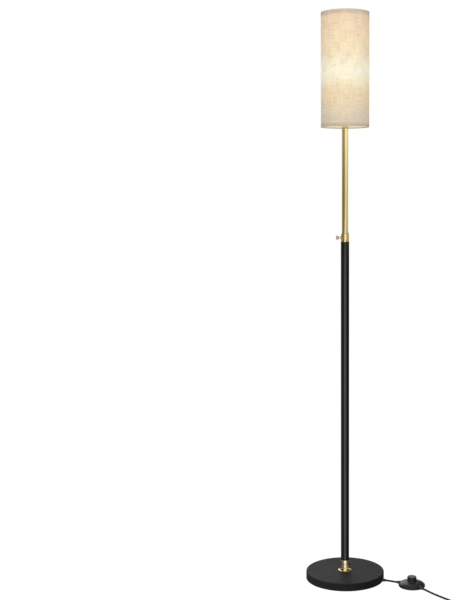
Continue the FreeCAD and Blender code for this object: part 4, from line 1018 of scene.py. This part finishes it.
def block(x0, x1, y0, y1, z0, z1, edge, place):
    """A small moulded block with bevelled edges."""
    made = bmesh.ops.create_cube(bm, size=1.0)["verts"]
    for v in made:
        v.co = Vector(((x0 + x1) / 2 + v.co.x * (x1 - x0), (y0 + y1) / 2 + v.co.y * (y1 - y0), (z0 + z1) / 2 + v.co.z * (z1 - z0))) * MM
    edges = list({e for v in made for e in v.link_edges})
    res = bmesh.ops.bevel(bm, geom=edges, offset=edge * MM, segments=3, affect="EDGES", profile=0.5)
    for v in {v for f in res["faces"] for v in f.verts} | {v for v in made if v.is_valid}:
        v.co = place @ v.co


block(31.0, 37.0, -3.0, 3.0, 12.15, 15.7, 0.6, TIE_PLACE)
# the tail comes out of the head's window and is cut short; its top is toothed
block(36.6, 40.2, -1.9, 1.9, 13.2, 14.0, 0.2, TIE_PLACE)
for k in range(4):
    block(37.3 + 0.75 * k, 37.65 + 0.75 * k, -1.4, 1.4, 13.9, 14.2, 0.08, TIE_PLACE)
tie = finish_mesh("coil_strap", bm, M["tie_black"], sharp=38)
put(tie, BASE, ["cord_tie"])

# ---------------------------------------------------------------- stage, light, background
floor_mat = Mat("floor").set(color=(0.14, 0.14, 0.14), rough=0.9, spec=0.1, emit=(1.0, 1.0, 1.0), strength=0.0)
f_path = floor_mat.node("ShaderNodeLightPath")
floor_mat.to(floor_mat.mix(f_path.outputs["Is Camera Ray"], (0.14, 0.14, 0.14), (0.03, 0.03, 0.03)), "Base Color")
floor_mat.to(floor_mat.math("MULTIPLY", f_path.outputs["Is Camera Ray"], 0.98), "Emission Strength")
bm = bmesh.new()
for x, y in ((-30, -30), (30, -30), (30, 30), (-30, 30)):
    bm.verts.new((x, y, -0.0002))
bm.faces.new(bm.verts)
floor = finish_mesh("floor", bm, floor_mat.m, weld=False)
if floor.data.polygons[0].normal.z < 0:
    floor.data.flip_normals()
floor.visible_glossy = False


def area(name, at, look, size, size_y, radiance, color=(1, 1, 1), spread=180.0, glossy=True):
    d = bpy.data.lights.new(name, "AREA")
    d.shape, d.size, d.size_y = "RECTANGLE", size, size_y
    d.energy = radiance * math.pi * size * size_y
    d.color = color
    d.spread = math.radians(spread)
    o = bpy.data.objects.new(name, d)
    scene.collection.objects.link(o)
    o.location = at
    o.rotation_mode = "QUATERNION"
    o.rotation_quaternion = (Vector(look) - Vector(at)).to_track_quat("-Z", "Y")
    o.visible_camera = False
    o.visible_glossy = glossy
    return o


def sunlight(name, direction, energy, angle):
    d = bpy.data.lights.new(name, "SUN")
    d.energy, d.angle = energy, math.radians(angle)
    o = bpy.data.objects.new(name, d)
    scene.collection.objects.link(o)
    o.rotation_mode = "QUATERNION"
    o.rotation_quaternion = Vector(direction).to_track_quat("-Z", "Y")
    o.visible_glossy = False
    return o


sunlight("overhead", (0.05, 0.10, -1.0), 3.0, 50)
sunlight("from_the_front", (0.04, 1.0, -0.22), 1.40, 40)
area("low_left", (-1.20, -0.62, 1.15), (0.14, -0.04, 0.0), 0.9, 0.9, 2.6, spread=64.0, glossy=False)

world = bpy.data.worlds.new("studio")
scene.world = world
world.use_nodes = True
wt = world.node_tree
wt.nodes.clear()
w_out = wt.nodes.new("ShaderNodeOutputWorld")
w_mix = wt.nodes.new("ShaderNodeMixShader")
w_path = wt.nodes.new("ShaderNodeLightPath")
w_seen = wt.nodes.new("ShaderNodeBackground")
w_lit = wt.nodes.new("ShaderNodeBackground")
w_seen.inputs[0].default_value = (1, 1, 1, 1)
w_seen.inputs[1].default_value = 1.0
wt.links.new(w_path.outputs["Is Camera Ray"], w_mix.inputs[0])
wt.links.new(w_lit.outputs[0], w_mix.inputs[1])
wt.links.new(w_seen.outputs[0], w_mix.inputs[2])
wt.links.new(w_mix.outputs[0], w_out.inputs[0])
w_co = wt.nodes.new("ShaderNodeTexCoord")


def w_math(op, a, b=None, clamp=False):
    n = wt.nodes.new("ShaderNodeMath")
    n.operation, n.use_clamp = op, clamp
    for i, v in enumerate((a, b)):
        if isinstance(v, (int, float)):
            n.inputs[i].default_value = v
        elif v is not None:
            wt.links.new(v, n.inputs[i])
    return n.outputs[0]


def w_step(v, low, high):
    n = wt.nodes.new("ShaderNodeMapRange")
    n.interpolation_type = "SMOOTHSTEP"
    n.inputs[1].default_value, n.inputs[2].default_value = low, high
    wt.links.new(v, n.inputs[0])
    return n.outputs[0]


def w_mixed(fac, a, b):
    n = wt.nodes.new("ShaderNodeMix")
    n.data_type = "RGBA"
    for i, v in ((0, fac), (6, a), (7, b)):
        if isinstance(v, tuple):
            n.inputs[i].default_value = (*v, 1.0)
        else:
            wt.links.new(v, n.inputs[i])
    return n.outputs[2]


w_xyz = wt.nodes.new("ShaderNodeSeparateXYZ")
wt.links.new(w_co.outputs["Generated"], w_xyz.inputs[0])
# compass direction, 0 at the front and + to the right, as a share of the full turn; and the sine of the height above the horizon
w_turn = w_math("ADD", w_math("DIVIDE", w_math("ARCTAN2", w_xyz.outputs[0], w_math("MULTIPLY", w_xyz.outputs[1], -1.0)), 2 * math.pi), 0.5)
w_rise = w_xyz.outputs[2]
NEUTRAL, WARM, PALE, COOL = (1.0, 0.99, 0.97), (1.0, 0.88, 0.52), (1.0, 0.93, 0.76), (0.96, 0.985, 1.08)


def w_round(stops):
    """The light round the room: (degrees, level, tint) from -180 to 180."""
    n = wt.nodes.new("ShaderNodeValToRGB")
    n.color_ramp.interpolation = "B_SPLINE"
    e = n.color_ramp.elements
    while len(e) < len(stops):
        e.new(0.5)
    for s_, (deg, lev, tint) in zip(e, stops):
        s_.position = deg / 360.0 + 0.5
        s_.color = (lev * tint[0] / 2, lev * tint[1] / 2, lev * tint[2] / 2, 1.0)
    wt.links.new(w_turn, n.inputs[0])
    return n.outputs[0]


# three bands of the room: what the upper part of the brass pole shows, what the rest of it shows, and what the black pole shows
top_ring = w_round([
    (-180, 0.35, NEUTRAL), (-158, 0.90, NEUTRAL), (-138, 1.00, NEUTRAL), (-120, 0.45, WARM), (-108, 0.45, NEUTRAL), (-96, 0.60, NEUTRAL), (-84, 0.45, NEUTRAL),
    (-68, 0.38, PALE), (-50, 0.36, PALE), (-30, 0.38, PALE), (-12, 0.50, PALE), (4, 0.90, NEUTRAL), (18, 1.20, COOL), (34, 1.40, COOL), (48, 1.25, COOL),
    (64, 0.95, COOL), (90, 0.85, NEUTRAL), (118, 0.80, NEUTRAL), (135, 0.60, NEUTRAL), (150, 0.95, NEUTRAL), (165, 0.80, NEUTRAL), (180, 0.35, NEUTRAL)])
high_ring = w_round([
    (-180, 0.30, NEUTRAL), (-158, 0.80, NEUTRAL), (-138, 0.80, NEUTRAL), (-120, 0.25, WARM), (-108, 0.30, NEUTRAL), (-96, 0.42, NEUTRAL), (-84, 0.28, NEUTRAL),
    (-68, 0.18, WARM), (-50, 0.17, WARM), (-30, 0.18, WARM), (-12, 0.24, WARM), (4, 0.55, NEUTRAL), (18, 0.80, COOL), (34, 0.98, COOL), (48, 0.78, COOL),
    (64, 0.60, COOL), (90, 0.60, NEUTRAL), (118, 0.60, NEUTRAL), (135, 0.50, NEUTRAL), (150, 0.75, NEUTRAL), (165, 0.70, NEUTRAL), (180, 0.30, NEUTRAL)])
low_ring = w_round([
    (-180, 0.62, NEUTRAL), (-160, 0.66, NEUTRAL), (-142, 0.34, NEUTRAL), (-120, 0.08, NEUTRAL), (-98, 0.14, NEUTRAL), (-80, 0.36, NEUTRAL), (-62, 0.30, NEUTRAL),
    (-46, 0.14, NEUTRAL), (-33, 0.22, NEUTRAL), (-20, 1.25, NEUTRAL), (-6, 2.05, NEUTRAL), (10, 2.00, NEUTRAL), (24, 1.15, NEUTRAL), (37, 0.40, NEUTRAL),
    (58, 0.16, NEUTRAL), (80, 0.07, NEUTRAL), (104, 0.10, NEUTRAL), (128, 0.12, NEUTRAL), (148, 0.40, NEUTRAL), (164, 0.60, NEUTRAL), (180, 0.62, NEUTRAL)])
ring = w_mixed(w_step(w_rise, -0.050, -0.040), low_ring, w_mixed(w_step(w_rise, 0.002, 0.056), high_ring, top_ring))
# above the ring the room is dim, with one soft panel high behind the left shoulder of the foot switch
panel_at = Vector((-0.22, 0.81, 0.55)).normalized()
w_dot = wt.nodes.new("ShaderNodeVectorMath")
w_dot.operation = "DOT_PRODUCT"
w_dot.inputs[1].default_value = panel_at
wt.links.new(w_co.outputs["Generated"], w_dot.inputs[0])
upper = w_mixed(w_step(w_dot.outputs["Value"], math.cos(math.radians(29)), math.cos(math.radians(13))), (0.03, 0.03, 0.03), (0.98, 0.98, 0.98))
w_dot2 = wt.nodes.new("ShaderNodeVectorMath")
w_dot2.operation = "DOT_PRODUCT"
w_dot2.inputs[1].default_value = Vector((0.02, -0.857, 0.515)).normalized()
wt.links.new(w_co.outputs["Generated"], w_dot2.inputs[0])
upper = w_mixed(w_step(w_dot2.outputs["Value"], math.cos(math.radians(26)), math.cos(math.radians(12))), upper, (0.75, 0.72, 0.66))
upper = w_mixed(w_step(w_rise, 0.70, 0.95), upper, (0.22, 0.22, 0.22))
ring = w_mixed(w_step(w_rise, 0.12, 0.26), ring, upper)
ring = w_mixed(w_step(w_math("MULTIPLY", w_rise, -1.0), 0.341, 0.352), ring, (0.05, 0.05, 0.05))
ring = w_mixed(w_step(w_math("MULTIPLY", w_rise, -1.0), 0.44, 0.60), ring, (0.42, 0.41, 0.39))
wt.links.new(ring, w_lit.inputs[0])
w_lit.inputs[1].default_value = 2.0
world.cycles.sampling_method = "NONE"

scene.cycles.use_denoising = True
scene.cycles.denoiser = "OPENIMAGEDENOISE"
scene.view_settings.view_transform = "Standard"
scene.view_settings.look = "None"
scene.view_settings.exposure = 0.0
scene.view_settings.gamma = 1.0
